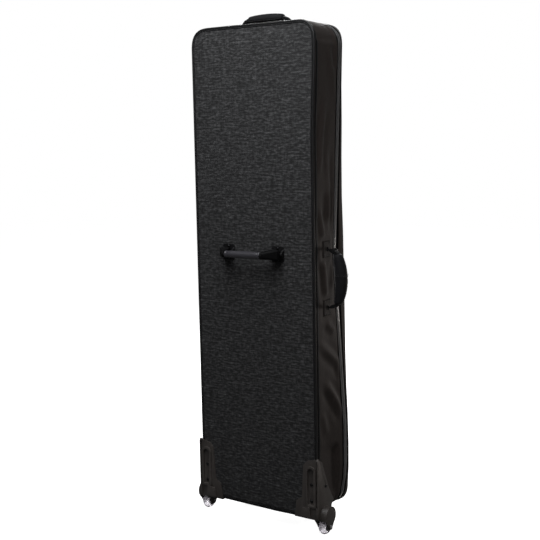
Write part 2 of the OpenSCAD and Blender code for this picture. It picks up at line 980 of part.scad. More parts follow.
// Solid that fills the space between the bag's round corner and the guard's square one
module guard_corner() {
    xz_prism(front_y, front_y + guard_corner_l)
        difference() {
            translate([arc_x, bag_z - guard_t / 2])
                square([corner_r + guard_t, corner_r + guard_t / 2]);
            translate([arc_x, low_z])
                circle(corner_r + touch);
        }
}

// Arch over the wheel with a rounded head, and cheeks that taper down to the axle
module wheel_house() {
    half = sqrt(house_r * house_r - cheek_up * cheek_up);
    yz_prism(wheel_x - house_half, wheel_x + house_half)
        union() {
            circle_at(wheel_y, wheel_r, cheek_r);
            circle_at(wheel_y, wheel_r + head_up, head_r);
            intersection() {
                circle_at(wheel_y, wheel_r, house_r);
                translate([wheel_y - house_r, wheel_r + cheek_up])
                    square([2 * house_r, house_r]);
            }
            polygon([
                [wheel_y - half, wheel_r + cheek_up],
                [wheel_y - cheek_r + 0.4, wheel_r - 2],
                [wheel_y + cheek_r - 0.4, wheel_r - 2],
                [wheel_y + half, wheel_r + cheek_up]]);
        }
}

module circle_at(y, z, r) {
    translate([y, z])
        circle(r);
}

module wheel_well() {
    along_x(wheel_x, wheel_y, wheel_r, 2 * arch_r, 2 * well_half);
    translate([wheel_x - well_half, front_y - 40, -1])
        cube([2 * well_half, 40 + wheel_in, wheel_r + 20]);
    translate([wheel_x - well_half, wheel_y, -1])
        cube([2 * well_half, arch_r + 20, wheel_r + 1]);
}

module wheel_guard() {
    difference() {
        union() {
            xz_prism(front_y - guard_t, front_y)
                guard_front_outline();
            yz_prism(side_x, side_x + guard_t)
                guard_wing_outline();
            guard_corner();
            translate([side_x - guard_foot_w, front_y, bag_z - guard_t / 2])
                cube([guard_foot_w, guard_base_l, guard_t / 2 - touch]);
            difference() {
                wheel_house();
                bag_corner_space();
            }
            xz_prism(front_y - guard_t - rim_t, front_y - guard_t + eps)
                recess_outline(rim_w);
            xz_prism(front_y - guard_t - block_t, front_y)
                polygon([
                    [side_x - guard_w - 3, bag_z + 2],
                    [side_x - guard_w + block_w, bag_z + 2],
                    [side_x - guard_w + block_w - 5, bag_z + block_h],
                    [side_x - guard_w + 4, bag_z + block_h - 4]]);
        }
        wheel_well();
        piping_groove();
        corner_groove();
        xz_prism(front_y - guard_t - rim_t - 1, front_y - guard_t + recess_t)
            recess_outline(0);
        for (z = guard_screw_z)
            along_y(guard_screw_x, front_y, z, screw_d, 30);
        along_x(side_x, wing_screw[0], wing_screw[1], screw_d, 30);
        along_x(wheel_x, wheel_y, wheel_r, axle_d, 3 * house_half);
    }
}

// Space taken by the bag's own corner and the gap kept to it
module bag_corner_space() {
    xz_prism(front_y, rear_y)
        union() {
            translate([arc_x, low_z])
                circle(corner_r + touch);
            translate([0, bag_z - touch])
                square([arc_x, guard_h]);
            translate([0, low_z])
                square([side_x, guard_h]);
        }
}

module wheel_guard_right() {
    color("#343130")
        wheel_guard();
}

module wheel_guard_left() {
    color("#343130")
        mirror([1, 0, 0])
            wheel_guard();
}

// Screws of the guards, through the back panel into the board, and one in each side wing
module guard_screws() {
    color("#1b1b1c")
        for (s = [0, 1])
            mirror([s, 0, 0]) {
                for (z = guard_screw_z) {
                    along_y(guard_screw_x, front_y - guard_t + recess_t - screw_head_t / 2, z,
                        screw_head_d, screw_head_t);
                    translate([guard_screw_x, board_in_y, z])
                        rotate([90, 0, 0])
                            cylinder(d = screw_d, h = board_in_y - front_y + guard_t - recess_t);
                }
                along_x(side_x + guard_t + screw_head_t / 2, wing_screw[0], wing_screw[1],
                    screw_head_d, screw_head_t);
                translate([side_x, wing_screw[0], wing_screw[1]])
                    rotate([0, 90, 0])
                        cylinder(d = screw_d, h = guard_t);
            }
}

// Stand feet

module stand_foot(x) {
    difference() {
        union() {
            hull() {
                translate([x, foot_flange_y, bag_z - foot_flange_t])
                    linear_extrude(foot_flange_t - touch)
                        square([foot_w + 4, foot_flange_l], center = true);
                translate([x, foot_rear_y - foot_l / 2, foot_pad_t])
                    linear_extrude(3)
                        square([foot_w, foot_l], center = true);
            }
            translate([x, foot_flange_y, bag_z - foot_flange_t])
                linear_extrude(foot_flange_t - touch)
                    square([foot_w + 2 * foot_lip + 2 * foot_ear_w, foot_flange_l], center = true);
        }
        foot_screw_holes();
    }
}

module foot_screw_places() {
    for (s = [-1, 1])
        for (d = [-1, 1])
            translate([s * foot_x + d * foot_screw_x, foot_flange_y, bag_z - foot_flange_t])
                children();
}

module foot_screw_holes() {
    foot_screw_places()
        cylinder(d = screw_d, h = 30, center = true);
}

module stand_foot_left() {
    color("#2b2a2a")
        stand_foot(-foot_x);
}

module stand_foot_right() {
    color("#2b2a2a")
        stand_foot(foot_x);
}

module foot_pad(x) {
    color("#1a1a1a")
        translate([x, foot_rear_y - foot_l / 2, 0])
            linear_extrude(foot_pad_t)
                square([foot_w, foot_l], center = true);
}

module foot_pad_left() {
    foot_pad(-foot_x);
}

module foot_pad_right() {
    foot_pad(foot_x);
}

module foot_screws() {
    color("#1b1b1c")
        foot_screw_places() {
            translate([0, 0, -screw_head_t])
                cylinder(d = screw_head_d, h = screw_head_t);
            cylinder(d = screw_d, h = foot_flange_t - touch);
        }
}

// Webbing handles: a middle line drawn as [along, out] points over the bag's surface

function arch_points(half, rise, grip_l, shoulder) =
    let (g = grip_l / 2)
    concat(
        [[-half, web_lift]],
        [for (i = [0:4]) let (t = i / 4)
            [-half + (half - g) * pow(t, 0.8) * 0.98, web_lift + (shoulder - web_lift) * (0.2 + 0.8 * t)]],
        [for (i = [0:8]) let (a = -g + 2 * g * i / 8)
            [a * 0.98, shoulder + (rise - shoulder) * (1 - pow(a / g, 2))]],
        [for (i = [4:-1:0]) let (t = i / 4)
            [half - (half - g) * pow(t, 0.8) * 0.98, web_lift + (shoulder - web_lift) * (0.2 + 0.8 * t)]],
        [[half, web_lift]]);

function unit(v) = v / norm(v);
function normal_at(p, i) =
    let (a = p[max(0, i - 1)], b = p[min(len(p) - 1, i + 1)], d = unit(b - a))
    [-d[1], d[0]];
function ribbon(p, t) =
    concat(
        [for (i = [0:len(p) - 1]) p[i] + normal_at(p, i) * t / 2],
        [for (i = [len(p) - 1:-1:0]) p[i] - normal_at(p, i) * t / 2]);

// Webbing ribbon with narrow, gathered ends and a rolled hem on the swing line
module webbing(half, rise, grip_l, shoulder) {
    p = arch_points(half, rise, grip_l, shoulder);
    neck_z = web_lift + 9;
    intersection() {
        xz_prism(-web_w / 2, web_w / 2)
            polygon(ribbon(p, web_t));
        yz_prism(-half - 20, half + 20)
            polygon([
                [-web_root_w / 2, 0],
                [web_root_w / 2, 0],
                [web_root_w / 2, web_lift + 1],
                [web_neck_w / 2, web_lift + 5],
                [web_w / 2, neck_z + 5],
                [web_w / 2, rise + web_w],
                [-web_w / 2, rise + web_w],
                [-web_w / 2, neck_z + 5],
                [-web_neck_w / 2, web_lift + 5],
                [-web_root_w / 2, web_lift + 1]]);
    }
    for (s = [-1, 1])
        along_x(s * half, 0, web_lift, 2 * web_r, 12);
}

// Padded grip: ovals swept along the arch, hollow where the webbing runs
module padded_grip(half, rise, grip_l, grip_t, grip_w, shoulder, end_t) {
    g = grip_l / 2;
    r = round_steps;
    points = [for (i = [0:grip_steps])
        let (
            a = -g + 2 * g * i / grip_steps,
            bulge = sqrt(max(0, 1 - pow(a / g, 2))),
            t = end_t + (grip_t - end_t) * bulge,
            w = (grip_w + web_w) / 2 + (grip_w - web_w) / 2 * bulge,
            z = shoulder + (rise - shoulder) * (1 - pow(a / g, 2)))
        for (j = [0:r - 1])
            let (q = 360 * j / r)
            [a, w / 2 * cos(q), z + t / 2 * sin(q)]];
    sides = [for (i = [0:grip_steps - 1]) for (j = [0:r - 1])
        let (
            a = i * r + j,
            b = i * r + (j + 1) % r,
            c = (i + 1) * r + (j + 1) % r,
            d = (i + 1) * r + j)
        each [[a, c, b], [a, d, c]]];
    ends = [[for (j = [0:r - 1]) j], [for (j = [r - 1:-1:0]) grip_steps * r + j]];
    difference() {
        polyhedron(points, concat(sides, ends));
        xz_prism(-web_w / 2 - 0.2, web_w / 2 + 0.2)
            polygon(ribbon(arch_points(half, rise, grip_l, shoulder), web_t + 0.4));
    }
}

module patches(half) {
    for (s = [-1, 1])
        translate([s * half, 0, patch_t / 2])
            cube([patch_l, patch_w, patch_t], center = true);
}

// The arch's crown is set so that the grip's outer face is at the asked reach
top_crown = top_rise - top_grip_t / 2;
side_crown = side_reach - side_grip_t / 2;

module on_top() {
    translate([0, top_y, top_z])
        children();
}

module on_side() {
    translate([side_x, side_y, side_z])
        rotate([0, 90, 0])
            children();
}

module top_handle_patches() {
    color("#1c1c1d")
        on_top()
            patches(top_half);
}

module top_handle_webbing() {
    color("#161617")
        on_top()
            webbing(top_half, top_crown, top_grip_l, top_end_rise);
}

module top_handle_grip() {
    color("#1b1b1c")
        on_top()
            padded_grip(top_half, top_crown, top_grip_l, top_grip_t, top_grip_w, top_end_rise, top_end_t);
}

module side_handle_patches() {
    color("#1c1c1d")
        on_side()
            patches(side_half);
}

module side_handle_webbing() {
    color("#161617")
        on_side()
            webbing(side_half, side_crown, side_grip_l, side_end_rise);
}

module side_handle_grip() {
    color("#262628")
        on_side()
            padded_grip(side_half, side_crown, side_grip_l, side_grip_t, side_grip_w, side_end_rise,
                side_end_t);
}

// Panel handle: a moulded strap on two pins between bracket lugs, with a sleeve grip

barrel_d = 10;
arm_out = 13.5;
lug_r = 7;
lug_foot = 13;
lug_neck = 6.7;
lug_set = 2;
lug_x = (bracket_w - lug_t) / 2;
bracket_r = 5;
bracket_screw_in = 6;
bracket_screw_z = bracket_h / 2 - bracket_screw_in;
barrel_l = bracket_w - 2 * lug_t - 2 * fit;
module panel_bracket(s) {
    color("#2a292b")
        translate([s * panel_half, 0, panel_z])
            difference() {
                union() {
                    xz_prism(front_y - bracket_t, front_y)
                        rounded_rect(bracket_w, bracket_h, bracket_r);
                    for (d = [-1, 1])
                        yz_prism(d * lug_x - lug_t / 2, d * lug_x + lug_t / 2)
                            union() {
                                circle_at(pin_y, 0, lug_r);
                                polygon([
                                    [front_y - bracket_t + eps, -lug_foot],
                                    [front_y - bracket_t + eps, lug_foot],
                                    [pin_y - lug_set, lug_neck],
                                    [pin_y - lug_set, -lug_neck]]);
                            }
                }
                along_x(0, pin_y, 0, pin_d, bracket_w + 10);
                for (d = [-1, 1])
                    along_y(0, front_y, d * bracket_screw_z, screw_d, 30);
            }
}

module panel_bracket_left() {
    panel_bracket(-1);
}

module panel_bracket_right() {
    panel_bracket(1);
}

module panel_handle_pins() {
    color("#b9babc")
        for (s = [-1, 1])
            along_x(s * panel_half, pin_y, panel_z, pin_d, bracket_w);
}

module bracket_screws() {
    color("#b9babc")
        for (s = [-1, 1])
            for (d = [-1, 1])
                translate([s * panel_half, front_y - bracket_t, panel_z + d * bracket_screw_z])
                    rotate([90, 0, 0]) {
                        cylinder(d = screw_head_d - 2, h = screw_head_t - 0.4);
                        translate([0, 0, front_y - bracket_t - board_in_y])
                            cylinder(d = screw_d, h = board_in_y - front_y + bracket_t);
                    }
}

grip_core_d = 12;
arm_collar_l = 6;
arm_collar_out = 4;
arm_collar_x = panel_grip_l / 2 + arm_collar_out;
// Broad root of an arm, in front of the bracket's lugs
module arm_root(s) {
    for (d = [-1, 1])
        along_x(s * panel_half, pin_y - arm_out, panel_z + d * (arm_h - barrel_d) / 2, barrel_d, barrel_l);
}

module panel_handle_strap() {
    color("#1d1d1f")
        difference() {
            union() {
                for (s = [-1, 1]) {
                    hull() {
                        along_x(s * panel_half, pin_y, panel_z, barrel_d, barrel_l);
                        arm_root(s);
                    }
                    hull() {
                        arm_root(s);
                        along_x(s * arm_collar_x, panel_grip_y, panel_z, panel_grip_d, arm_collar_l);
                    }
                }
                along_x(0, panel_grip_y, panel_z, grip_core_d, panel_grip_l + arm_collar_out);
            }
            for (s = [-1, 1])
                along_x(s * panel_half, pin_y, panel_z, pin_d + 2 * run_gap, bracket_w + 2);
        }
}

module panel_handle_grip() {
    g = panel_grip_l / 2;
    r = panel_grip_d / 2;
    color("#3d3c41")
        translate([0, panel_grip_y, panel_z])
            rotate([0, 90, 0])
                rotate_extrude()
                    polygon([
                        [grip_core_d / 2, -g],
                        [r - 2, -g],
                        [r - 0.6, -g + 2],
                        [r, -g + 8],
                        [r, g - 8],
                        [r - 0.6, g - 2],
                        [r - 2, g],
                        [grip_core_d / 2, g]]);
}

// Tie straps inside the bag

module tie_strap(s) {
    color("#202023")
        translate([0, lining_in_y + tie_t / 2, mid_z + s * tie_off])
            cube([bag_w - 2 * tie_in, tie_t, tie_w], center = true);
}

module tie_strap_upper() {
    tie_strap(1);
}

module tie_strap_lower() {
    tie_strap(-1);
}

module tie_buckle(s) {
    color("#18181a")
        translate([0, lining_in_y + tie_t, mid_z + s * tie_off])
            difference() {
                translate([0, buckle_t / 2, 0])
                    cube([buckle_l, buckle_t, tie_w + 8], center = true);
                for (d = [-1, 1])
                    translate([d * (buckle_l / 2 - 12), buckle_t / 2 + 1.5, 0])
                        cube([8, buckle_t, tie_w - 4], center = true);
                translate([0, buckle_t, 0])
                    cube([14, 4, tie_w - 12], center = true);
            }
}

module tie_buckle_upper() {
    tie_buckle(1);
}

module tie_buckle_lower() {
    tie_buckle(-1);
}

module tie_buckles() {
    tie_buckle_upper();
    tie_buckle_lower();
}

module placed() {
    translate(origin)
        children();
}

placed() back_panel_cover();
placed() back_panel_board();
placed() back_panel_foam();
placed() panel_piping();
placed() main_gusset();
placed() wall_foam_right();
placed() wall_foam_left();
placed() wall_foam_top();
placed() wall_foam_bottom();
placed() base_lining();
placed() base_zip_tape();
placed() base_zip_teeth();
placed() lid_zip_tape();
placed() lid_zip_teeth();
placed() hinge_cord();
placed() zip_slider_upper();
placed() zip_slider_lower();
placed() zip_pull_upper();
placed() zip_pull_lower();
placed() lid_cover();
placed() lid_piping();
placed() lid_gusset();
placed() lid_foam();
placed() lid_lining();
placed() pocket_panel();
placed() pocket_zip_tape();
placed() pocket_zip_teeth();
placed() pocket_slider();
placed() pocket_pull();
placed() wheel_tyre_right();
placed() wheel_tyre_left();
placed() wheel_hub_right();
placed() wheel_hub_left();
placed() wheel_bearings_right();
placed() wheel_bearings_left();
placed() wheel_axle_right();
placed() wheel_axle_left();
placed() wheel_guard_right();
placed() wheel_guard_left();
placed() guard_screws();
placed() stand_foot_left();
placed() stand_foot_right();
placed() foot_pad_left();
placed() foot_pad_right();
placed() foot_screws();
placed() top_handle_patches();
placed() top_handle_webbing();
placed() top_handle_grip();
placed() side_handle_patches();
placed() side_handle_webbing();
placed() side_handle_grip();
placed() panel_bracket_left();
placed() panel_bracket_right();
placed() panel_handle_pins();
placed() bracket_screws();
placed() panel_handle_strap();
placed() panel_handle_grip();
placed() tie_strap_upper();
placed() tie_strap_lower();
placed() tie_buckles();
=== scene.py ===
"""Dresses the upright wheeled keyboard bag on its CAD frame: cloth shell, zip, handles, guards and wheels."""

import functools
import logging
import math
import random
from dataclasses import dataclass, replace
from enum import Enum
from typing import Callable, NamedTuple, Optional, Sequence

import bmesh
import bpy
from mathutils import Matrix, Vector, noise


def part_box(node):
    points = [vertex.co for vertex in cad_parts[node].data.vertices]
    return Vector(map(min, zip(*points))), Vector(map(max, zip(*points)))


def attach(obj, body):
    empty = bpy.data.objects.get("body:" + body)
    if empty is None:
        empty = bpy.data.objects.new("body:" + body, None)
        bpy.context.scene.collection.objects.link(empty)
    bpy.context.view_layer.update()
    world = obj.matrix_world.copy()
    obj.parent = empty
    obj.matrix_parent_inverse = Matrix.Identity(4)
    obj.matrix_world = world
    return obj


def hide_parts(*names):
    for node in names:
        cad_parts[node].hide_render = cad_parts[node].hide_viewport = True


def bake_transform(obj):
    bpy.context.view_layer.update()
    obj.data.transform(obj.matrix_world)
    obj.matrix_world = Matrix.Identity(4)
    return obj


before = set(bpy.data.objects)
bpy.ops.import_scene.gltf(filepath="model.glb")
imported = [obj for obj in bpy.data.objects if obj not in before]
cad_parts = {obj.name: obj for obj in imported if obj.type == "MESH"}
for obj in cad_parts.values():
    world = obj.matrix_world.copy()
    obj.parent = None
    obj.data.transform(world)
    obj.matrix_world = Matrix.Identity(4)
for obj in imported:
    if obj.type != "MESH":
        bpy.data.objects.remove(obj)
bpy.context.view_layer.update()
LOG = logging.getLogger("bag")
MM = 0.001
WELD = 1e-7
CAD_WELD = 0.004 * MM
SMOOTH = 180.0
AXIS_X, AXIS_Y, AXIS_Z = Vector((1, 0, 0)), Vector((0, 1, 0)), Vector((0, 0, 1))
Colour = tuple[float, float, float]
Pair = tuple[float, float]
Line = tuple[Pair, ...]
Mesh = bmesh.types.BMesh
Node = bpy.types.Node
Socket = bpy.types.NodeSocket


class Body(Enum):
    """Bodies of the CAD frame that carry pieces of the scene."""

    BASE = "bag_base"
    LID = "lid"
    WHEEL_LEFT = "wheel_left"
    WHEEL_RIGHT = "wheel_right"
    TOP_HANDLE = "top_handle"
    SIDE_HANDLE = "side_handle"
    PANEL_HANDLE = "panel_handle"
    SLIDER_UPPER = "zip_slider_upper"
    SLIDER_LOWER = "zip_slider_lower"
    PULL_UPPER = "zip_pull_upper"
    PULL_LOWER = "zip_pull_lower"
    POCKET_SLIDER = "pocket_slider"
    POCKET_PULL = "pocket_pull"


class Side(Enum):
    """Runs of the bag's outline, in the order that the outline takes them."""

    RIGHT = 0
    TOP = 1
    LEFT = 2
    BOTTOM = 3


# Finishes


class NodeSheet:
    """Short calls for adding and linking nodes in a material or a node group."""

    def __init__(self, tree: bpy.types.NodeTree) -> None:
        """Keeps the tree that the calls work on."""
        self.tree = tree

    def add(self, kind: str, inputs: Optional[dict] = None, **settings) -> Node:
        """Adds a node.

        Args:
            kind: Type name of the node, without its prefix.
            inputs: Values or sockets for the node's inputs, by name or number.
            **settings: Properties of the node itself.

        Returns:
            The new node.
        """
        node = self.tree.nodes.new("ShaderNode" + kind)
        for name, value in settings.items():
            setattr(node, name, value)
        self.fill(node, inputs or {})
        return node

    def fill(self, node: Node, values: dict) -> None:
        """Links sockets into a node's inputs, by name or number, or sets plain values on them.

        Args:
            node: The node.
            values: Sockets or plain values, by the input's name or number.
        """
        for key, value in values.items():
            if isinstance(value, Socket):
                self.tree.links.new(value, node.inputs[key])
            else:
                node.inputs[key].default_value = value

    def math(self, operation: str, *values: object) -> Socket:
        """Adds a Math node over values or sockets and returns its output."""
        return self.add("Math", dict(enumerate(values)), operation=operation).outputs[0]

    def ramp(
        self, value: object, low: float, high: float, to_low: float = 0.0, to_high: float = 1.0
    ) -> Socket:
        """Adds a clamped Map Range and returns its output."""
        inputs = {"Value": value, "From Min": low, "From Max": high, "To Min": to_low, "To Max": to_high}
        return self.add("MapRange", inputs).outputs[0]

    def blend(self, share: object, first: Colour, second: Colour) -> Socket:
        """Mixes two colours and returns the mix."""
        inputs = {0: share, 6: rgba(first), 7: rgba(second)}
        return self.add("Mix", inputs, data_type="RGBA").outputs[2]

    def noise(self, place: Socket, scale: float, detail: float) -> Socket:
        """Adds a noise texture and returns its value."""
        return self.add("TexNoise", {"Vector": place, "Scale": scale, "Detail": detail}).outputs[0]

    def bump(self, height: Socket, depth: float) -> Socket:
        """Adds a bump of a depth in metres and returns its normal."""
        return self.add("Bump", {"Height": height, "Strength": 1.0, "Distance": depth}).outputs[0]


def rgba(colour: Colour) -> tuple[float, float, float, float]:
    """Gives a colour its alpha."""
    return (*colour, 1.0)


class Effects:
    """Shader node groups that several finishes share, each made on first use."""

    @staticmethod
    def start(name: str, inputs: dict[str, str], outputs: Sequence[str]) -> tuple[NodeSheet, Node, Node]:
        """Starts a node group.

        Args:
            name: Name of the group.
            inputs: Socket types of its inputs, by name.
            outputs: Names of its value outputs.

        Returns:
            The node sheet, the input node and the output node.
        """
        tree = bpy.data.node_groups.new(name, "ShaderNodeTree")
        for key, kind in inputs.items():
            tree.interface.new_socket(key, in_out="INPUT", socket_type="NodeSocket" + kind)
        for key in outputs:
            tree.interface.new_socket(key, in_out="OUTPUT", socket_type="NodeSocketFloat")
        return NodeSheet(tree), tree.nodes.new("NodeGroupInput"), tree.nodes.new("NodeGroupOutput")

    @staticmethod
    @functools.cache
    def weave() -> bpy.types.NodeTree:
        """Over-and-under threads, uneven slubs along weft and warp, and fine fuzz.

        Returns:
            The node group.
        """
        streaks = ((0.5, (75.0, 205.0, 1.0)), (0.3, (20.0, 200.0, 1.0)), (0.2, (230.0, 60.0, 1.0)))
        inputs = {"Vector": "Vector", "Pitch": "Float"}
        sheet, start, end = Effects.start("weave", inputs, ("Threads", "Slubs", "Fuzz"))
        spot = start.outputs["Vector"]
        scale = sheet.math("DIVIDE", math.pi, start.outputs["Pitch"])
        place = sheet.add("VectorMath", {0: spot, "Scale": scale}, operation="SCALE").outputs[0]
        axes = sheet.add("SeparateXYZ", {0: place}).outputs
        crossing = sheet.math("MULTIPLY", sheet.math("SINE", axes[0]), sheet.math("SINE", axes[1]))
        slubs = 0.0
        for share, stretch in streaks:
            streak = sheet.add("VectorMath", {0: spot, 1: stretch}, operation="MULTIPLY").outputs[0]
            slubs = sheet.math("MULTIPLY_ADD", sheet.noise(streak, 1.0, 2.0), share, slubs)
        threads = sheet.math("MULTIPLY_ADD", crossing, 0.5, 0.5)
        sheet.fill(end, {"Threads": threads, "Slubs": slubs, "Fuzz": sheet.noise(place, 0.9, 2.0)})
        return sheet.tree

    @staticmethod
    @functools.cache
    def grain() -> bpy.types.NodeTree:
        """Fine moulded grain and broad mottling.

        Returns:
            The node group.
        """
        inputs = {"Vector": "Vector", "Size": "Float"}
        sheet, start, end = Effects.start("grain", inputs, ("Grain", "Mottle"))
        place = start.outputs["Vector"]
        scale = sheet.math("DIVIDE", 1.0, start.outputs["Size"])
        fine = sheet.add("TexVoronoi", {"Vector": place, "Scale": scale}, feature="SMOOTH_F1")
        sheet.fill(end, {"Grain": fine.outputs["Distance"], "Mottle": sheet.noise(place, 22.0, 4.0)})
        return sheet.tree

    @staticmethod
    @functools.cache
    def rub() -> bpy.types.NodeTree:
        """Edges and corners that handling has rubbed.

        Returns:
            The node group.
        """
        sheet, start, end = Effects.start("rub", {"Vector": "Vector"}, ("Edge",))
        edge = sheet.ramp(sheet.add("NewGeometry").outputs["Pointiness"], 0.53, 0.62)
        patchy = sheet.ramp(sheet.noise(start.outputs["Vector"], 60.0, 5.0), 0.35, 0.65, 0.25, 1.0)
        sheet.fill(end, {"Edge": sheet.math("MULTIPLY", edge, patchy)})
        return sheet.tree


@dataclass(frozen=True)
class Finish:
    """What every finish has: a name, the record's slot, a base colour and a roughness."""

    name: str
    slot: str
    shade: Colour
    rough: float

    def material(self) -> bpy.types.Material:
        """The finish's material, made on first use.

        Returns:
            The material.
        """
        found = bpy.data.materials.get(self.name)
        if found:
            return found
        made = bpy.data.materials.new(self.name)
        made.use_nodes = True
        made.diffuse_color = rgba(self.shade)
        sheet = NodeSheet(made.node_tree)
        shader = made.node_tree.nodes["Principled BSDF"]
        sheet.fill(shader, {"Roughness": self.rough})
        sheet.fill(shader, self.look(sheet))
        return made

    def look(self, sheet: NodeSheet) -> dict:
        """Adds the finish's nodes and gives what they feed to the shader, by input."""
        raise NotImplementedError

    def grain(self, sheet: NodeSheet, size: float) -> tuple[Socket, Socket, Socket]:
        """Places the shared grain.

        Args:
            sheet: The material's nodes.
            size: Size of the grain.

        Returns:
            The place, the grain and the mottling.
        """
        place = sheet.add("TexCoord").outputs["Object"]
        node = sheet.add("Group", {"Vector": place, "Size": size}, node_tree=Effects.grain())
        return place, *node.outputs


@dataclass(frozen=True)
class Cloth(Finish):
    """Woven cloth on the piece's own weave map, with bright slubs that stand out as far as the crest says."""

    thread: Colour = (0.05, 0.05, 0.05)
    pitch: float = 2.2 * MM
    slub: float = 0.6
    depth: float = 0.25 * MM
    sheen: float = 0.05
    on_map: bool = True
    gloss: float = 0.25
    crest: float = 1.0

    def look(self, sheet: NodeSheet) -> dict:
        """Mixes thread colours by crossings and slubs, and raises the weave.

        Args:
            sheet: The material's nodes.

        Returns:
            What they feed to the shader, by input.
        """
        place = sheet.add("TexCoord").outputs["UV" if self.on_map else "Object"]
        weave = sheet.add("Group", {"Vector": place, "Pitch": self.pitch}, node_tree=Effects.weave())
        threads, slubs, fuzz = weave.outputs
        uneven = sheet.math("POWER", sheet.ramp(slubs, 0.41, 0.69), self.crest)
        tone = sheet.math("MULTIPLY", uneven, self.slub)
        tone = sheet.math("MULTIPLY_ADD", threads, 1.0 - self.slub, tone)
        height = sheet.math("MULTIPLY_ADD", fuzz, 0.4, threads)
        height = sheet.math("MULTIPLY_ADD", slubs, 0.5, height)
        return {
            "Base Color": sheet.blend(tone, self.shade, self.thread),
            "Roughness": sheet.ramp(fuzz, 0.2, 0.8, self.rough - 0.08, self.rough + 0.08),
            "Normal": sheet.bump(height, self.depth),
            "Sheen Weight": self.sheen,
            "Sheen Roughness": 0.45,
            "Specular IOR Level": self.gloss,
        }


@dataclass(frozen=True)
class Moulded(Finish):
    """Moulded plastic or rubber with a fine grain and rubbed edges."""

    worn: Colour = (0.1, 0.1, 0.1)
    size: float = 1.1 * MM
    depth: float = 0.12 * MM
    coat: float = 0.0
    gloss: float = 0.5

    def look(self, sheet: NodeSheet) -> dict:
        """Mottles the colour, lightens the edges and raises the grain.

        Args:
            sheet: The material's nodes.

        Returns:
            What they feed to the shader, by input.
        """
        place, grain, mottle = self.grain(sheet, self.size)
        rub = sheet.add("Group", {"Vector": place}, node_tree=Effects.rub())
        edge = sheet.math("MULTIPLY", rub.outputs["Edge"], 0.7)
        share = sheet.math("MAXIMUM", edge, sheet.ramp(mottle, 0.3, 0.7, 0.0, 0.16))
        return {
            "Base Color": sheet.blend(share, self.shade, self.worn),
            "Roughness": sheet.ramp(mottle, 0.3, 0.7, self.rough - 0.06, self.rough + 0.06),
            "Normal": sheet.bump(grain, self.depth),
            "Coat Weight": self.coat,
            "Specular IOR Level": self.gloss,
        }


@dataclass(frozen=True)
class Metal(Finish):
    """Satin metal with fine brushing and a little tarnish."""

    tarnish: Colour = (0.3, 0.3, 0.3)
    size: float = 0.6 * MM
    depth: float = 0.03 * MM

    def look(self, sheet: NodeSheet) -> dict:
        """Brushes the metal and dulls it in patches.

        Args:
            sheet: The material's nodes.

        Returns:
            What they feed to the shader, by input.
        """
        _, grain, mottle = self.grain(sheet, self.size)
        return {
            "Base Color": sheet.blend(sheet.ramp(mottle, 0.4, 0.75, 0.0, 0.5), self.shade, self.tarnish),
            "Roughness": sheet.ramp(mottle, 0.3, 0.7, self.rough - 0.06, self.rough + 0.1),
            "Normal": sheet.bump(grain, self.depth),
            "Metallic": 1.0,
        }


@dataclass(frozen=True)
class Polyurethane(Finish):
    """Clear, slightly smoky wheel compound with scuffs on its tread."""

    scuff: Colour = (0.4, 0.4, 0.4)
    clear: float = 0.78
    size: float = 0.8 * MM
    bend: float = 1.49

    def look(self, sheet: NodeSheet) -> dict:
        """Clouds the compound and scuffs its gloss.

        Args:
            sheet: The material's nodes.

        Returns:
            What they feed to the shader, by input.
        """
        cloud = sheet.ramp(self.grain(sheet, self.size)[2], 0.35, 0.7)
        return {
            "Base Color": sheet.blend(cloud, self.shade, self.scuff),
            "Roughness": sheet.ramp(cloud, 0.0, 1.0, self.rough - 0.05, self.rough + 0.1),
            "Transmission Weight": self.clear,
            "IOR": self.bend,
            "Coat Weight": 0.5,
            "Coat Roughness": 0.06,
        }


COVER = Cloth(
    "cover cloth", "cover_cloth", (0.0068, 0.0068, 0.007), 0.78,
    (0.097, 0.097, 0.099), 2.6 * MM, 0.9, 0.4 * MM, crest=1.55,
)
WALL = Cloth(
    "wall cloth", "wall_cloth", (0.0145, 0.0108, 0.0092), 0.72,
    (0.036, 0.0275, 0.0238), 1.6 * MM, 0.4, 0.2 * MM,
)
BINDING = Cloth(
    "binding", "piping", (0.003, 0.003, 0.0032), 0.5,
    (0.008, 0.008, 0.0085), 1.2 * MM, 0.2, 0.1 * MM, gloss=0.1,
)
PIPING = Cloth(
    "panel piping", "piping", (0.006, 0.006, 0.0063), 0.36,
    (0.013, 0.013, 0.0135), 1.2 * MM, 0.2, 0.05 * MM, gloss=0.35,
)
# Dark piping on the lid's rim, lightened well past the panel piping's colour: a painted highlight along the
# rim's edge.
RIM_PIPING_HIGHLIGHT = Cloth(
    "rim piping painted highlight", "piping", (0.034, 0.034, 0.035), 0.36, (0.058, 0.058, 0.06), 1.2 * MM, 0.2, 0.1 * MM, 0.1
)
# Near-black hem, darker than the binding: painted shade for the shadow gap between the hem and the zip tape.
HEM_SHADOW = Cloth(
    "hem", "piping", (0.0012, 0.0012, 0.0013), 0.9,
    (0.003, 0.003, 0.0032), 1.2 * MM, 0.2, 0.1 * MM, 0.0, gloss=0.04,
)
ZIP_TAPE = Cloth(
    "zip tape", "zip_tape", (0.12, 0.12, 0.122), 0.6, (0.25, 0.25, 0.254), 1.4 * MM, 0.3, 0.15 * MM
)
POCKET_TAPE = replace(ZIP_TAPE, name="pocket tape", sheen=0.1, on_map=False)
LINING = Cloth(
    "lining cloth", "lining", (0.02, 0.021, 0.025), 0.85, (0.04, 0.042, 0.048), 1.8 * MM, 0.5, 0.2 * MM, 0.4
)
WEBBING = Cloth(
    "webbing weave", "webbing", (0.003, 0.003, 0.0033), 0.7,
    (0.008, 0.008, 0.0085), 1.9 * MM, 0.3, 0.2 * MM, 0.02, gloss=0.1,
)
GRIP_PAD = Cloth(
    "grip pad", "grip_pad", (0.004, 0.004, 0.0047), 0.62,
    (0.0105, 0.0105, 0.012), 1.3 * MM, 0.4, 0.15 * MM, 0.03, gloss=0.14,
)
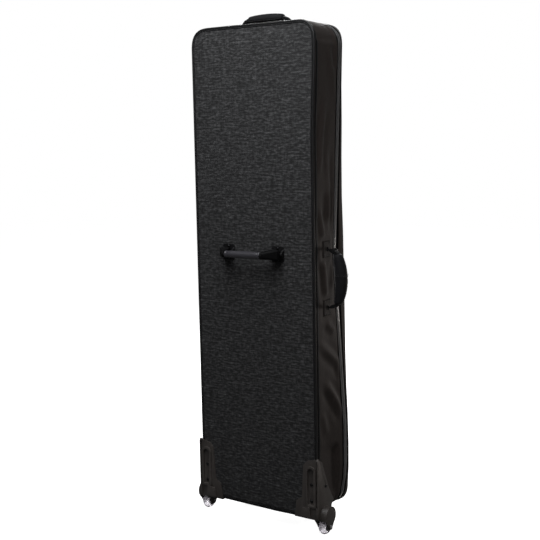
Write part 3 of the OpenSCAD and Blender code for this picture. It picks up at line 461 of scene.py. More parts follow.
PATCH = Cloth(
    "patch weave", "webbing", (0.0105, 0.0082, 0.0072), 0.72,
    (0.027, 0.021, 0.0185), 1.9 * MM, 0.3, 0.2 * MM, 0.02,
)
THREAD = Cloth(
    "thread", "piping", (0.02, 0.02, 0.021), 0.5, (0.05, 0.05, 0.052), 0.5 * MM, 0.3, 0.05 * MM, 0.1, False
)
COIL = Moulded("zip coil", "zip_teeth", (0.1, 0.1, 0.102), 0.4, (0.18, 0.18, 0.18), 0.5 * MM, 0.02 * MM, 0.2)
GUARD = Moulded(
    "guard plastic", "guard_plastic", (0.042, 0.0365, 0.0332), 0.46, (0.1, 0.09, 0.083), gloss=0.35
)
FITTING = Moulded("fitting plastic", "moulded_plastic", (0.014, 0.014, 0.0145), 0.4, (0.06, 0.06, 0.06))
BRACKET = Moulded(
    "bracket plastic", "moulded_plastic", (0.004, 0.004, 0.0045), 0.5, (0.018, 0.018, 0.018), gloss=0.2
)
BOARD = Moulded("stiffener board", "board", (0.012, 0.012, 0.012), 0.6, (0.03, 0.03, 0.03))
HUB = Moulded("hub plastic", "hub_plastic", (0.12, 0.12, 0.125), 0.4, (0.25, 0.25, 0.25))
SOLE = Moulded(
    "sole rubber", "sole_rubber", (0.012, 0.012, 0.012), 0.8, (0.04, 0.04, 0.04), 2.0 * MM, 0.3 * MM
)
ARM_RUBBER = Moulded(
    "arm rubber", "moulded_rubber", (0.003, 0.003, 0.0034), 0.55, (0.011, 0.011, 0.011), gloss=0.06
)
GRIP_RUBBER = Moulded(
    "grip rubber", "grip_rubber", (0.034, 0.0325, 0.038), 0.4,
    (0.07, 0.07, 0.078), 0.8 * MM, 0.04 * MM, 0.2, gloss=0.35,
)
STEEL = Metal("satin steel", "steel", (0.62, 0.62, 0.63), 0.28, (0.35, 0.34, 0.33))
BLACK_STEEL = Metal("black steel", "dark_steel", (0.03, 0.03, 0.031), 0.4, (0.06, 0.06, 0.06))
SLIDER = Metal("slider metal", "slider_metal", (0.06, 0.06, 0.063), 0.36, (0.12, 0.12, 0.12))
PULL = Metal("pull metal", "pull_metal", (0.07, 0.07, 0.073), 0.34, (0.16, 0.16, 0.16))
TYRE = Polyurethane("wheel compound", "wheel_polyurethane", (0.78, 0.74, 0.8), 0.12, (0.92, 0.9, 0.93))


# Shared mesh work


def spread(low: float, high: float, count: int) -> list[float]:
    """Evenly spaced values over a span, with both its ends."""
    return [low + (high - low) * k / count for k in range(count + 1)]


def ripple(x: float, z: float, *layers: tuple[float, float, float, float]) -> float:
    """Adds up noise over a sheet, each layer with its share, X scale, level and Z scale."""
    return sum(share * noise.noise(Vector((x * a, level, z * b))) for share, a, level, b in layers)


def round_corners(x: float, z: float, half_x: float, half_z: float, r: float) -> Pair:
    """Moves a point of a rectangle so that the rectangle's corners turn round.

    Args:
        x: The point's place across, from the middle.
        z: The point's place up, from the middle.
        half_x: Half the rectangle's width.
        half_z: Half its height.
        r: Radius of its corners.

    Returns:
        The moved point.
    """
    px, pz = (abs(x) - half_x + r) / r, (abs(z) - half_z + r) / r
    if px > 0 and pz > 0:
        x = math.copysign(half_x - r + r * px * math.sqrt(1 - pz * pz / 2), x)
        z = math.copysign(half_z - r + r * pz * math.sqrt(1 - px * px / 2), z)
    return x, z


def cloth_grid(
    cols: int, rows: int, place: Callable[[int, int], Vector], measure: Callable[[int, int], Pair]
) -> Mesh:
    """Bends a flat grid into shape and welds the edges that meet.

    Args:
        cols: Cells along the grid.
        rows: Cells across the grid.
        place: Gives the point for a column and a row.
        measure: Gives the cloth's own coordinates there, in metres.

    Returns:
        The mesh, with its weave map.
    """
    bm = bmesh.new()
    layer = bm.loops.layers.uv.new("weave")
    bmesh.ops.create_grid(bm, x_segments=cols, y_segments=rows, size=0.5)
    at = {v: (round((v.co.x + 0.5) * cols), round((v.co.y + 0.5) * rows)) for v in bm.verts}
    for face in bm.faces:
        for loop in face.loops:
            loop[layer].uv = measure(*at[loop.vert])
    for vert, (i, j) in at.items():
        vert.co = place(i, j)
    bmesh.ops.remove_doubles(bm, verts=bm.verts[:], dist=WELD)
    return bm


def close_ends(bm: Mesh) -> Mesh:
    """Fills a mesh's open ends and turns every face outwards.

    Args:
        bm: The mesh.

    Returns:
        The same mesh.
    """
    edges = [e for e in bm.edges if e.is_boundary]
    if edges:
        bmesh.ops.holes_fill(bm, edges=edges)
    bmesh.ops.recalc_face_normals(bm, faces=bm.faces[:])
    return bm


def face_towards(bm: Mesh, way: Vector) -> None:
    """Turns a sheet over if its faces look away from a direction."""
    if sum(f.normal.dot(way) for f in bm.faces) < 0:
        bmesh.ops.reverse_faces(bm, faces=bm.faces[:])


def thicken(bm: Mesh, way: Vector, thickness: float) -> Mesh:
    """Turns a sheet to face a direction and thickens it behind its face.

    Args:
        bm: The sheet.
        way: The direction.
        thickness: Its thickness.

    Returns:
        The same mesh.
    """
    face_towards(bm, way)
    bmesh.ops.solidify(bm, geom=bm.faces[:], thickness=thickness)
    return bm


def join(whole: Mesh, bm: Mesh) -> None:
    """Adds a mesh to another and frees it.

    Args:
        whole: The mesh that takes it.
        bm: The mesh that is added.
    """
    mesh = bpy.data.meshes.new("part")
    bm.to_mesh(mesh)
    bm.free()
    whole.from_mesh(mesh)
    bpy.data.meshes.remove(mesh)


def frame_of(along: Vector, out: Vector) -> Matrix:
    """Rotation whose Z axis runs along one direction and whose X axis faces out.

    Args:
        along: The first direction.
        out: The second direction.

    Returns:
        The rotation.
    """
    z = along.normalized()
    y = z.cross(out).normalized()
    return Matrix((y.cross(z), y, z)).transposed().to_4x4()


def rod(
    bm: Mesh, middle: Vector, turn: Matrix, length: float, radius: float, sides: int, taper: float = 1.0
) -> None:
    """Adds a straight rod to a mesh.

    Args:
        bm: The mesh.
        middle: Middle of the rod.
        turn: Rotation that lays the Z axis along the rod.
        length: Length of the rod.
        radius: Radius at its start.
        sides: Sides round it.
        taper: Radius at its end, as a share of the first.
    """
    bmesh.ops.create_cone(
        bm, cap_ends=True, segments=sides, radius1=radius, radius2=radius * taper, depth=length,
        matrix=Matrix.Translation(middle) @ turn,
    )


def piece(name: str, bm: Mesh, finish: Finish, sharp: float = SMOOTH) -> bpy.types.Object:
    """Makes an object of a mesh and gives it its finish.

    Args:
        name: Name of the piece.
        bm: Its mesh, which is freed.
        finish: Its finish.
        sharp: Angle in degrees from which an edge stays sharp.

    Returns:
        The object, at the origin.
    """
    for face in bm.faces:
        face.smooth = True
    mesh = bpy.data.meshes.new(name)
    bm.to_mesh(mesh)
    bm.free()
    if sharp < SMOOTH:
        mesh.set_sharp_from_angle(angle=math.radians(sharp))
    mesh.materials.append(finish.material())
    obj = bpy.data.objects.new(name, mesh)
    bpy.context.scene.collection.objects.link(obj)
    return obj


def carry(
    name: str, bm: Mesh, finish: Finish, body: Body, *nodes: str,
    sharp: float = SMOOTH, fill: Optional[float] = None,
) -> bpy.types.Object:
    """Makes a piece and puts it on its body, in place of the CAD nodes it stands for.

    Args:
        name: Name of the piece.
        bm: Its mesh, which is freed.
        finish: Its finish.
        body: The body that it rides on.
        *nodes: The nodes that it replaces.
        sharp: Angle in degrees from which an edge stays sharp.
        fill: How full a padded piece is; not used.

    Returns:
        The object.
    """
    obj = piece(name, bm, finish, sharp)
    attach(obj, body.value)
    if nodes:
        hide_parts(*nodes)
    LOG.info("%s on %s", obj.name, body.value)
    return obj


def plump(obj: bpy.types.Object, cap: float, sewn: Callable[[Vector], bool], pressure: float) -> None:
    """Swells a padded piece by a short cloth simulation, whose result stays in its mesh.

    Args:
        obj: The piece, a little slimmer than it gets.
        cap: How far a point may move.
        sewn: Tells whether a point is held by a seam.
        pressure: Pressure of the filling, higher for a small stiff pad.
    """
    scene, mesh, frames = bpy.context.scene, obj.data, 20
    seam = obj.vertex_groups.new(name="seam")
    seam.add([v.index for v in mesh.vertices if sewn(v.co)], 1.0, "REPLACE")
    swell = obj.modifiers.new("swell", "CLOTH")
    swell.settings.use_pressure = True
    swell.settings.uniform_pressure_force = pressure
    swell.settings.effector_weights.gravity = 0.0
    swell.settings.vertex_group_mass = seam.name
    swell.collision_settings.use_collision = False
    for step in range(1, frames + 1):
        scene.frame_set(step)
    shaped = obj.evaluated_get(bpy.context.evaluated_depsgraph_get())
    moved = [v.co.copy() for v in shaped.data.vertices]
    obj.modifiers.remove(swell)
    obj.vertex_groups.remove(seam)
    scene.frame_set(1)
    reach = 0.0
    for vertex, now in zip(mesh.vertices, moved):
        way = now - vertex.co
        way *= min(1.0, cap / max(way.length, 1e-9))
        reach = max(reach, way.length)
        vertex.co += way
    mesh.update()
    LOG.info("%s swelled by up to %.1f mm", obj.name, reach / MM)


def cad_copy(node: str) -> Mesh:
    """Copies a CAD node's mesh, with its points merged.

    Args:
        node: Name of the node.

    Returns:
        The copy.
    """
    bm = bmesh.new()
    bm.from_mesh(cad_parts[node].data)
    bmesh.ops.remove_doubles(bm, verts=bm.verts[:], dist=CAD_WELD)
    return bm


def rounded_copy(node: str, width: float, steps: int, angle: float) -> Mesh:
    """Copies a CAD node's mesh and rounds its sharp edges.

    Args:
        node: Name of the node.
        width: Width of the rounding, in metres.
        steps: Segments across the rounding.
        angle: Angle in degrees from which an edge is rounded.

    Returns:
        The rounded mesh.
    """
    bm = cad_copy(node)
    bmesh.ops.dissolve_limit(bm, angle_limit=math.radians(1.0), verts=bm.verts[:], edges=bm.edges[:])
    limit = math.radians(angle)
    edges = [e for e in bm.edges if len(e.link_faces) == 2 and e.calc_face_angle(0.0) > limit]
    bmesh.ops.bevel(
        bm, geom=edges, offset=width, offset_type="OFFSET", affect="EDGES",
        segments=steps, profile=0.5, material=-1, clamp_overlap=True, loop_slide=True,
    )
    return bm


def lathe(points: Sequence[Pair], centre: Vector, axis: Vector, steps: int) -> Mesh:
    """Spins an open profile round an axis.

    Args:
        points: Distances along the axis and radii.
        centre: Middle of the piece.
        axis: Axis of the spin.
        steps: Steps of a full turn.

    Returns:
        The closed mesh.
    """
    bm = bmesh.new()
    turn = AXIS_Z.rotation_difference(axis).to_matrix()
    verts = [bm.verts.new(centre + turn @ Vector((r, 0, t))) for t, r in points]
    edges = [bm.edges.new(pair) for pair in zip(verts, verts[1:])]
    bmesh.ops.spin(
        bm, geom=verts + edges, cent=centre, axis=axis, angle=2 * math.pi, steps=steps, use_merge=True
    )
    bmesh.ops.remove_doubles(bm, verts=bm.verts[:], dist=WELD)
    return close_ends(bm)


class Stitching:
    """Rows of short threads sewn into one mesh."""

    def __init__(self, radius: float = 0.45 * MM, length: float = 3.2 * MM, pitch: float = 4.6 * MM) -> None:
        """Sets the thread's size.

        Args:
            radius: Radius of the thread.
            length: Length of a stitch.
            pitch: Distance from stitch to stitch.
        """
        self.bm = bmesh.new()
        self.radius, self.length, self.pitch = radius, length, pitch

    def row(self, points: Sequence[Vector], out: Callable[[Vector], Vector] | Vector) -> None:
        """Sews a row along a line.

        Args:
            points: Points of the line.
            out: Direction away from the cloth, or what gives it at a point.
        """
        left = self.pitch / 2
        for a, b in zip(points, points[1:]):
            span = (b - a).length
            while left < span:
                spot = a.lerp(b, left / span)
                turn = frame_of(b - a, out(spot) if callable(out) else out)
                rod(self.bm, spot, turn, self.length, self.radius, 5, 0.8)
                left += self.pitch
            left -= span


# The bag's form


def mm_line(*knots: Pair, start: float = 0.0) -> Line:
    """Turns knots in millimetres into a line in metres, from a start."""
    return tuple((start + a * MM, b * MM) for a, b in knots)


def along(line: Line, at: float) -> float:
    """Reads a line at a place, with its end values kept beyond its ends.

    Args:
        line: Knots of the line.
        at: The place.

    Returns:
        The line's value there.
    """
    if at <= line[0][0]:
        return line[0][1]
    for (a, first), (b, second) in zip(line, line[1:]):
        if at <= b:
            return first + (second - first) * (at - a) / (b - a)
    return line[-1][1]


class Station(NamedTuple):
    """A place on the bag's outline, with the direction out of the bag."""

    length: float
    x: float
    z: float
    out_x: float
    out_z: float
    side: Optional[Side]
    along: float


@dataclass(frozen=True)
class Fold:
    """A crease or ridge in the wall cloth, by side, depth and place along the side."""

    side: Side
    line: Line
    width: float
    height: float

    def rise(self, along: float, y: float) -> float:
        """Height of the fold at a place on its side.

        Args:
            along: Place along the side.
            y: Depth of the place.

        Returns:
            The height, below zero in a crease and beside a ridge.
        """
        best, best_t = 1.0, 0.0
        count = len(self.line) - 1
        for k, ((y0, a0), (y1, a1)) in enumerate(zip(self.line, self.line[1:])):
            dy, da = y1 - y0, a1 - a0
            t = ((y - y0) * dy + (along - a0) * da) / (dy * dy + da * da)
            t = min(1.0, max(0.0, t))
            gap = math.hypot(y - y0 - t * dy, along - a0 - t * da)
            if gap < best:
                best, best_t = gap, (k + t) / count
        ends = min(1.0, 4.0 * min(best_t + 0.02, 1.02 - best_t))
        ridge = math.exp(-((best / self.width) ** 2))
        flank = math.exp(-(((best - 1.7 * self.width) / self.width) ** 2))
        return self.height * ends * (ridge - 0.45 * flank)


def fading(gap: float) -> float:
    """Eases from 1 at no gap to 0 at a gap of 1 and beyond."""
    return 0.0 if gap >= 1.0 else (1.0 - gap * gap) ** 2


@dataclass(frozen=True)
class Calm:
    """A part of a side that something stiff holds flat."""

    side: Side
    along: Pair
    depth: Pair
    fade: float

    def hold(self, along: float, y: float) -> float:
        """How far the cloth is held flat at a place, from 0 to 1.

        Args:
            along: Place along the side.
            y: Depth of the place.

        Returns:
            The hold.
        """
        da = max(self.along[0] - along, along - self.along[1], 0.0)
        dy = max(self.depth[0] - y, y - self.depth[1], 0.0)
        return fading(math.hypot(da, dy) / self.fade)


@dataclass(frozen=True)
class BagForm:
    """Outline, depths and edge lines of the bag, in the frame.

    The lines give, by the height over the bottom, how far the right side's edges stand out from the plain
    outline: at the back panel, at the zip and at the lid's rim. The sag line does the same for the panel's
    bottom edge. The tucks give how tight a corner is drawn: the panel's upper left and right one, the rim's
    upper and lower right one. Beside the hinge the left side is drawn in a little and held flat, so that the
    opened lid can lie against it.
    """

    middle_x: float
    half_w: float
    bottom_z: float
    top_z: float
    front_y: float
    rear_y: float
    hem_y: float
    lid_hem_y: float
    corner: float = 60 * MM
    seam_in: float = 5 * MM
    slack_start: float = 40 * MM
    panel_tuck: Pair = (5 * MM, 7 * MM)
    rim_tuck: Pair = (5 * MM, 6 * MM)
    hinge_flat: float = 50 * MM
    hinge_fade: float = 34 * MM
    hinge_in: float = 1.8 * MM
    sag_line: Line = mm_line((-150, 0), (-40, 1.5), (60, 3.2), (130, 2.2))
    panel_line: Line = mm_line((1080, 0), (1180, 4), (1260, 7.5), (1320, 8.5))
    zip_line: Line = mm_line((60, 9), (90, 15), (130, 18), (250, 18), (730, -12), (1320, 12))
    rim_line: Line = mm_line(
        (60, 5), (110, 8), (180, 8.5), (270, 6.5), (350, 3), (440, 1), (530, 0),
        (800, -3.5), (900, -6.5), (1010, -6.4), (1110, -4.6), (1210, -4.6), (1320, -1),
    )

    @classmethod
    def from_cad(cls) -> "BagForm":
        """Reads the form from the CAD boxes.

        Returns:
            The form.
        """
        low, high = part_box("panel_piping")
        proud = 0.4 * MM
        return cls(
            (low.x + high.x) / 2, (high.x - low.x) / 2 - proud, low.z + proud, high.z - proud,
            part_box("back_panel_cover")[0].y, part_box("lid_cover")[1].y,
            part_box("main_gusset")[1].y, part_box("lid_gusset")[0].y,
        )

    @property
    def zip_y(self) -> float:
        """Depth of the zip line."""
        return (self.hem_y + self.lid_hem_y) / 2

    @property
    def middle_z(self) -> float:
        """Height of the bag's middle."""
        return (self.bottom_z + self.top_z) / 2

    @property
    def half_h(self) -> float:
        """Half the bag's length."""
        return (self.top_z - self.bottom_z) / 2

    @property
    def runs(self) -> tuple[float, float, float]:
        """Lengths of a long side, a short side and a corner arc."""
        return 2 * (self.half_h - self.corner), 2 * (self.half_w - self.corner), self.corner * math.pi / 2

    @property
    def girth(self) -> float:
        """Length of the whole outline."""
        return 2 * self.runs[0] + 2 * self.runs[1] + 4 * self.runs[2]

    def station(self, length: float) -> Station:
        """Finds a place on the outline.

        Args:
            length: Length along the outline, from the right side's lower end upwards.

        Returns:
            The place.
        """
        tall, wide, arc = self.runs
        reach_x, reach_z = self.half_w - self.corner, self.half_h - self.corner
        left = length % self.girth
        corners = ((reach_x, reach_z), (-reach_x, reach_z), (-reach_x, -reach_z), (reach_x, -reach_z))
        for number, side in enumerate(Side):
            run = wide if side in (Side.TOP, Side.BOTTOM) else tall
            angle = number * math.pi / 2
            out_x, out_z = math.cos(angle), math.sin(angle)
            if left <= run:
                t = left - run / 2
                x = out_x * self.half_w - out_z * t
                z = out_z * self.half_h + out_x * t
                along = z + self.half_h if side in (Side.RIGHT, Side.LEFT) else x
                return Station(length, self.middle_x + x, self.middle_z + z, out_x, out_z, side, along)
            left -= run
            if left <= arc:
                turn = angle + left / self.corner
                cx, cz = corners[number]
                out_x, out_z = math.cos(turn), math.sin(turn)
                x, z = cx + self.corner * out_x, cz + self.corner * out_z
                return Station(length, self.middle_x + x, self.middle_z + z, out_x, out_z, None, turn)
            left -= arc
        raise ValueError("length runs past the outline")

    def stations(self, step: float) -> list[Station]:
        """Evenly spaced places round the whole outline."""
        count = round(self.girth / step)
        return [self.station(self.girth * i / count) for i in range(count)]

    def edge(self, line: Line, spot: Station) -> float:
        """How far an edge of the right side stands out at a place, fading round the corners.

        Args:
            line: The edge's line.
            spot: Place on the outline.

        Returns:
            The distance.
        """
        if spot.side is Side.RIGHT:
            return along(line, spot.along)
        if spot.side is None and spot.out_x > 0:
            return (line[-1][1] if spot.out_z > 0 else line[0][1]) * spot.out_x ** 2
        return 0.0

    @staticmethod
    def tight(spot: Station, tuck: float) -> float:
        """How far a corner that is drawn tight stands out from a round one."""
        return tuck * (2 * spot.out_x * spot.out_z) ** 2

    def panel_shift(self, spot: Station) -> float:
        """How far the panel's edge stands out.

        Args:
            spot: Place on the outline.

        Returns:
            The distance.
        """
        if spot.side is Side.BOTTOM:
            return along(self.sag_line, spot.along)
        out = self.edge(self.panel_line, spot)
        if spot.side is None and spot.out_z > 0:
            out += self.tight(spot, self.panel_tuck[spot.out_x > 0])
        return out

    def rim_shift(self, spot: Station) -> float:
        """How far the lid's rim stands out.

        Args:
            spot: Place on the outline.

        Returns:
            The distance.
        """
        out = self.edge(self.rim_line, spot)
        if spot.side is None and spot.out_x > 0:
            out += self.tight(spot, self.rim_tuck[spot.out_z < 0])
        return out

    def shift(self, spot: Station, y: float) -> float:
        """How far the surface stands out from the plain outline.

        Args:
            spot: Place on the outline.
            y: Depth of the place.

        Returns:
            The distance.
        """
        at_zip = self.edge(self.zip_line, spot)
        if y <= self.lid_hem_y:
            start = self.front_y + self.slack_start
            share = max(0.0, min(1.0, (y - start) / (self.hem_y - start))) ** 1.4
            return self.panel_shift(spot) * (1 - share) + at_zip * share
        t = min(1.0, (y - self.lid_hem_y) / (self.rear_y - self.seam_in - self.lid_hem_y))
        return at_zip + (self.rim_shift(spot) - at_zip) * t

    def point(self, spot: Station, y: float, out: float) -> Vector:
        """Point at a distance out from the outline's own surface."""
        return Vector((spot.x + spot.out_x * out, y, spot.z + spot.out_z * out))

    def on_side(self, spot: Station, y: float, out: float) -> Vector:
        """Point at a distance out from the surface that the edge lines shape."""
        return self.point(spot, y, out + self.shift(spot, y))

    def beside_hinge(self, spot: Station, y: float) -> float:
        """How far the left side is held flat, from 0 to 1, where the opened lid lies against it.

        Args:
            spot: Place on the outline.
            y: Depth of the place.

        Returns:
            The hold.
        """
        if spot.out_x >= 0:
            return 0.0
        return fading(max(0.0, self.zip_y - y - self.hinge_flat) / self.hinge_fade) * spot.out_x ** 2

    def near(self, x: float, z: float) -> tuple[Station, float]:
        """Finds the outline's place nearest to a point inside it.

        Args:
            x: The point's X in the frame.
            z: The point's Z in the frame.

        Returns:
            The place and its distance.
        """
        dx, dz = x - self.middle_x, z - self.middle_z
        past_x, past_z = abs(dx) - self.half_w + self.corner, abs(dz) - self.half_h + self.corner
        if past_x > 0 and past_z > 0:
            reach = math.hypot(past_x, past_z)
            out_x, out_z = math.copysign(past_x / reach, dx), math.copysign(past_z / reach, dz)
            return Station(0, x, z, out_x, out_z, None, 0), self.corner - reach
        if past_x > past_z:
            side = Side.RIGHT if dx > 0 else Side.LEFT
            return Station(0, x, z, math.copysign(1, dx), 0, side, dz + self.half_h), self.corner - past_x
        side = Side.TOP if dz > 0 else Side.BOTTOM
        return Station(0, x, z, 0, math.copysign(1, dz), side, dx), self.corner - past_z


FORM = BagForm.from_cad()


def sweep(
    spots: Sequence[Station], profile: Sequence[Pair], place: Callable[[Station, float, float], Vector]
) -> Mesh:
    """Sweeps a closed profile round the outline.

    Args:
        spots: Places round the outline.
        profile: Depths and distances out, in order round the profile.
        place: Gives the point for a place, a depth and a distance out.

    Returns:
        The closed mesh.
    """
    count, sides = len(spots), len(profile)
    walked = [0.0]
    for a, b in zip(profile, [*profile[1:], profile[0]]):
        walked.append(walked[-1] + math.dist(a, b))
    points = [[place(spot, y, out) for y, out in profile] for spot in spots]
    lengths = [spot.length for spot in spots]
    lengths.append(2 * lengths[-1] - lengths[-2])
    return close_ends(cloth_grid(
        count, sides,
        lambda i, j: points[i % count][j % sides],
        lambda i, j: (lengths[i], walked[j]),
    ))


@dataclass
class Shell:
    """The bag's cloth: back panel, walls, lid, bindings and linings.

    The creases lie on the right side. Each has points by depth from the wall's middle and by height, a width
    and a rise, in millimetres. The other sides draw a count of theirs at random within a reach. The profiles
    of linings, tapes and hems are depths and distances out in millimetres, from the edge that they lie on.
    The rows of stitches have theirs in metres.
    """

    form: BagForm
    thick: float = 2 * MM
    lining_t: float = 1.2 * MM
    crown: float = 2.4 * MM
    wall_ripple: float = 0.9 * MM
    lid_crown: float = 1.3 * MM
    lid_ripple: float = 0.5 * MM
    corner_free: float = 0.6
    turned: float = 1.2 * MM
    panel_crown: float = 2.6 * MM
    panel_in: float = 5.4 * MM
    panel_cells: tuple[int, int] = (52, 168)
    flat_edge: float = 30 * MM
    middle_in: float = 82 * MM
    bead: float = 3 * MM
    bead_in: float = 2.6 * MM
    step: float = 7 * MM
    seed: int = 11
    creases: tuple[tuple[Line, float, float], ...] = (
        (((-69, 502), (25, 433), (46, 382)), 13, 7.0),
        (((-40, 388), (6, 327), (42, 268)), 13, 7.0),
        (((-32, 558), (16, 523)), 12, 6.0),
        (((-60, 874), (-37, 780)), 12, 6.0),
        (((-13, 924), (-10, 831)), 13, 5.5),
        (((-48, 754), (-34, 686), (-25, 610)), 12, 6.5),
        (((-28, 1178), (-44, 1087), (-50, 1033), (-57, 958)), 13, 6.0),
        (((12, 790), (16, 930), (4, 1040)), 13, -5.5),
        (((24, 1150), (8, 1240), (-20, 1310)), 12, 3.0),
        (((-52, 300), (-32, 230)), 12, 3.5),
        (((16, 640), (20, 720)), 10, 4.0),
        (((34, 1250), (35, 1290), (34, 1335)), 12, 7.0),
    )
    reach: tuple[tuple[Side, float, float, int], ...] = (
        (Side.LEFT, 120, 1290, 13), (Side.TOP, -130, 130, 5), (Side.BOTTOM, -130, 130, 4)
    )
    lining_in: Pair = (19 * MM, 4 * MM)
    lining_step: float = 10 * MM
    lining_foot: Line = ((1, -22), (4, -17), (10, -15.6))
    lining_top: Line = ((1, -14), (2, -9), (2, -3.8), (0.8, -3.8), (-0.2, -12))
    lining_back: Line = ((8, -14), (-0.6, -20), (-0.6, -22))
    tape_over: float = 0.5 * MM
    tape_in: float = 5.2 * MM
    panel_tape: Line = ((-0.4, -5.2), (-0.6, -6.6), (-0.6, -8.4), (-0.2, -9.2), (1.2, -9), (1.2, -5.2))
    wall_tape: Line = ((0, 0.5), (5, 0.9), (9.4, 0.8), (10, 0.2), (9.4, -0.8), (0, -0.8))
    hem: Line = (
        (-5.4, 0.2), (-4.8, 0.6), (-1.6, 0.7), (-0.1, 0.5), (0.5, -0.4), (0.4, -2.0), (-0.6, -2.4),
        (-5.4, -0.6),
    )
    hem_fold: Line = ((-0.3, -0.4), (0, -1.0), (-0.4, -1.7))
    stitch_step: float = 6 * MM
    panel_row: Pair = (-1.1 * MM, -7.4 * MM)
    tape_row: Pair = (13.4 * MM, 1.0 * MM)
    hem_row: Pair = (-3.4 * MM, 0.1 * MM)
    lid_row: Pair = (3.2 * MM, 0.2 * MM)

    def __post_init__(self) -> None:
        """Lays out the folds and the parts held flat."""
        y = self.form.front_y + self.middle_in
        self.folds = [
            Fold(Side.RIGHT, mm_line(*line, start=y), width * MM, height * MM)
            for line, width, height in self.creases
        ]
        draw = random.Random(self.seed)
        for side, low, high, count in self.reach:
            for _ in range(count):
                a, slope = draw.uniform(low, high), draw.uniform(-70, 70)
                y0, y1 = draw.uniform(-66, -10), draw.uniform(0, 34)
                width, height = draw.uniform(8, 14), draw.choice((-1, 1, 1)) * draw.uniform(1.2, 2.6)
                line = mm_line((y0, a), (y1, a + slope), start=y)
                self.folds.append(Fold(side, line, width * MM, height * MM))
        stiff = [(Side.RIGHT, up, 26, -42, 2, 18) for up in (596, 760)]
        stiff += [(Side.TOP, x, 26, -16, 28, 6) for x in (-78, 78)]
        stiff += [(side, 91, 91, -90, -4, 24) for side in (Side.RIGHT, Side.LEFT)]
        stiff += [(Side.BOTTOM, x, 42, 4, 42, 24) for x in (-110, 110)]
        self.calms = [
            Calm(side, ((at - half) * MM, (at + half) * MM), (low * MM + y, high * MM + y), fade * MM)
            for side, at, half, low, high, fade in stiff
        ]

    def freedom(self, spot: Station, y: float) -> float:
        """How far the wall is free to move at a place, from 0 to 1.

        Args:
            spot: Place on the outline.
            y: Depth of the place.

        Returns:
            The freedom.
        """
        if spot.side is None:
            return self.corner_free
        return 1.0 - max([c.hold(spot.along, y) for c in self.calms if c.side is spot.side], default=0.0)

    def wall_out(self, spot: Station, y: float) -> float:
        """Distance of the wall's outer face from the outline.

        Args:
            spot: Place on the outline.
            y: Depth of the place.

        Returns:
            The distance.
        """
        form = self.form
        t = (y - form.front_y - form.seam_in) / (form.hem_y - form.front_y - form.seam_in)
        t = min(1.0, max(0.0, t))
        bow = math.sin(math.pi * t) ** 0.7
        swell = self.crown * bow
        if spot.side is not None:
            edge = min(1.0, 5 * t, 6 * (1 - t))
            swell += edge * sum(f.rise(spot.along, y) for f in self.folds if f.side is spot.side)
        broad = noise.noise(Vector((spot.x, y * 1.6, spot.z)) * 14)
        fine = noise.noise(Vector((spot.z, spot.x, y)) * 34)
        swell += self.wall_ripple * (broad + 0.5 * fine) * bow
        free = self.freedom(spot, y)
        flat = form.beside_hinge(spot, y)
        edge_free = free if t < 0.86 else 1.0
        return swell * free * (1 - flat) + form.shift(spot, y) * edge_free - form.hinge_in * flat

    def wall_point(self, spot: Station, y: float, out: float) -> Vector:
        """Point on the wall, at a distance over its outer face."""
        return self.form.point(spot, y, self.wall_out(spot, y) + out)

    def lid_point(self, spot: Station, y: float, out: float) -> Vector:
        """Point on the lid's wall.

        Args:
            spot: Place on the outline.
            y: Depth of the point.
            out: Distance over the wall's outer face.

        Returns:
            The point.
        """
        form = self.form
        t = min(1.0, max(0.0, (y - form.lid_hem_y) / (form.rear_y - form.seam_in - form.lid_hem_y)))
        wave = self.lid_crown + self.lid_ripple * noise.noise(Vector((spot.x, y, spot.z)) * 16)
        flat = form.beside_hinge(spot, y)
        return form.on_side(spot, y, out + wave * math.sin(math.pi * t) * (1 - flat) - form.hinge_in * flat)

    def build(self) -> None:
        """Builds and dresses every cloth piece of the shell."""
        level = self.form.front_y
        depth = self.crowned(-1, level, 38 * MM, 0.5 * MM, (1.0, 9, 0.3, 5), (0.5, 21, 1.7, 17))
        bm = thicken(self.face(level, self.panel_in, self.panel_cells, depth), -AXIS_Y, self.thick)
        carry("back_panel", bm, COVER, Body.BASE, "back_panel_cover", "back_panel_foam", fill=0.9)
        self.walls()
        self.bindings()
        level = self.form.rear_y
        depth = self.crowned(1, level, 46 * MM, 0.7 * MM, (1.0, 8, 4.3, 5), (0.6, 19, 2.7, 15))
        bm = thicken(self.face(level, self.panel_in, self.panel_cells, depth), AXIS_Y, self.thick)
        carry("lid_panel", bm, COVER, Body.LID, "lid_cover", "lid_foam", fill=0.8)
        self.linings()
        self.seams()

    def face(
        self, level: float, inset: float, cells: tuple[int, int],
        depth: Callable[[float, float, float], float],
    ) -> Mesh:
        """Makes a sheet with the bag's outline.

        Args:
            level: Depth at which its edge follows the bag's side.
            inset: Distance of its edge in from the outline.
            cells: Cells across and along.
            depth: Gives its depth for X, Z and the distance to its edge.

        Returns:
            The sheet's mesh.
        """
        form = self.form
        cols, rows = cells
        half_x, half_z, r = form.half_w - inset, form.half_h - inset, form.corner - inset

        def place(i: int, j: int) -> Vector:
            """Point of the sheet at a column and a row.

            Args:
                i: The column.
                j: The row.

            Returns:
                The point.
            """
            across, up = 2 * i / cols - 1, 2 * j / rows - 1
            x, z = round_corners(across * half_x, up * half_z, half_x, half_z, r)
            x, z = form.middle_x + x, form.middle_z + z
            edge = min((1 - abs(across)) * form.half_w, (1 - abs(up)) * form.half_h)
            spot, gap = form.near(x, z)
            pull = form.shift(spot, level) * max(0.0, 1 - gap / form.corner) ** 2
            x, z = x + spot.out_x * pull, z + spot.out_z * pull
            return Vector((x, depth(x, z, edge), z))

        bm = cloth_grid(
            cols, rows, place, lambda i, j: (2 * form.half_w * i / cols, 2 * form.half_h * j / rows)
        )
        bmesh.ops.recalc_face_normals(bm, faces=bm.faces[:])
        return bm

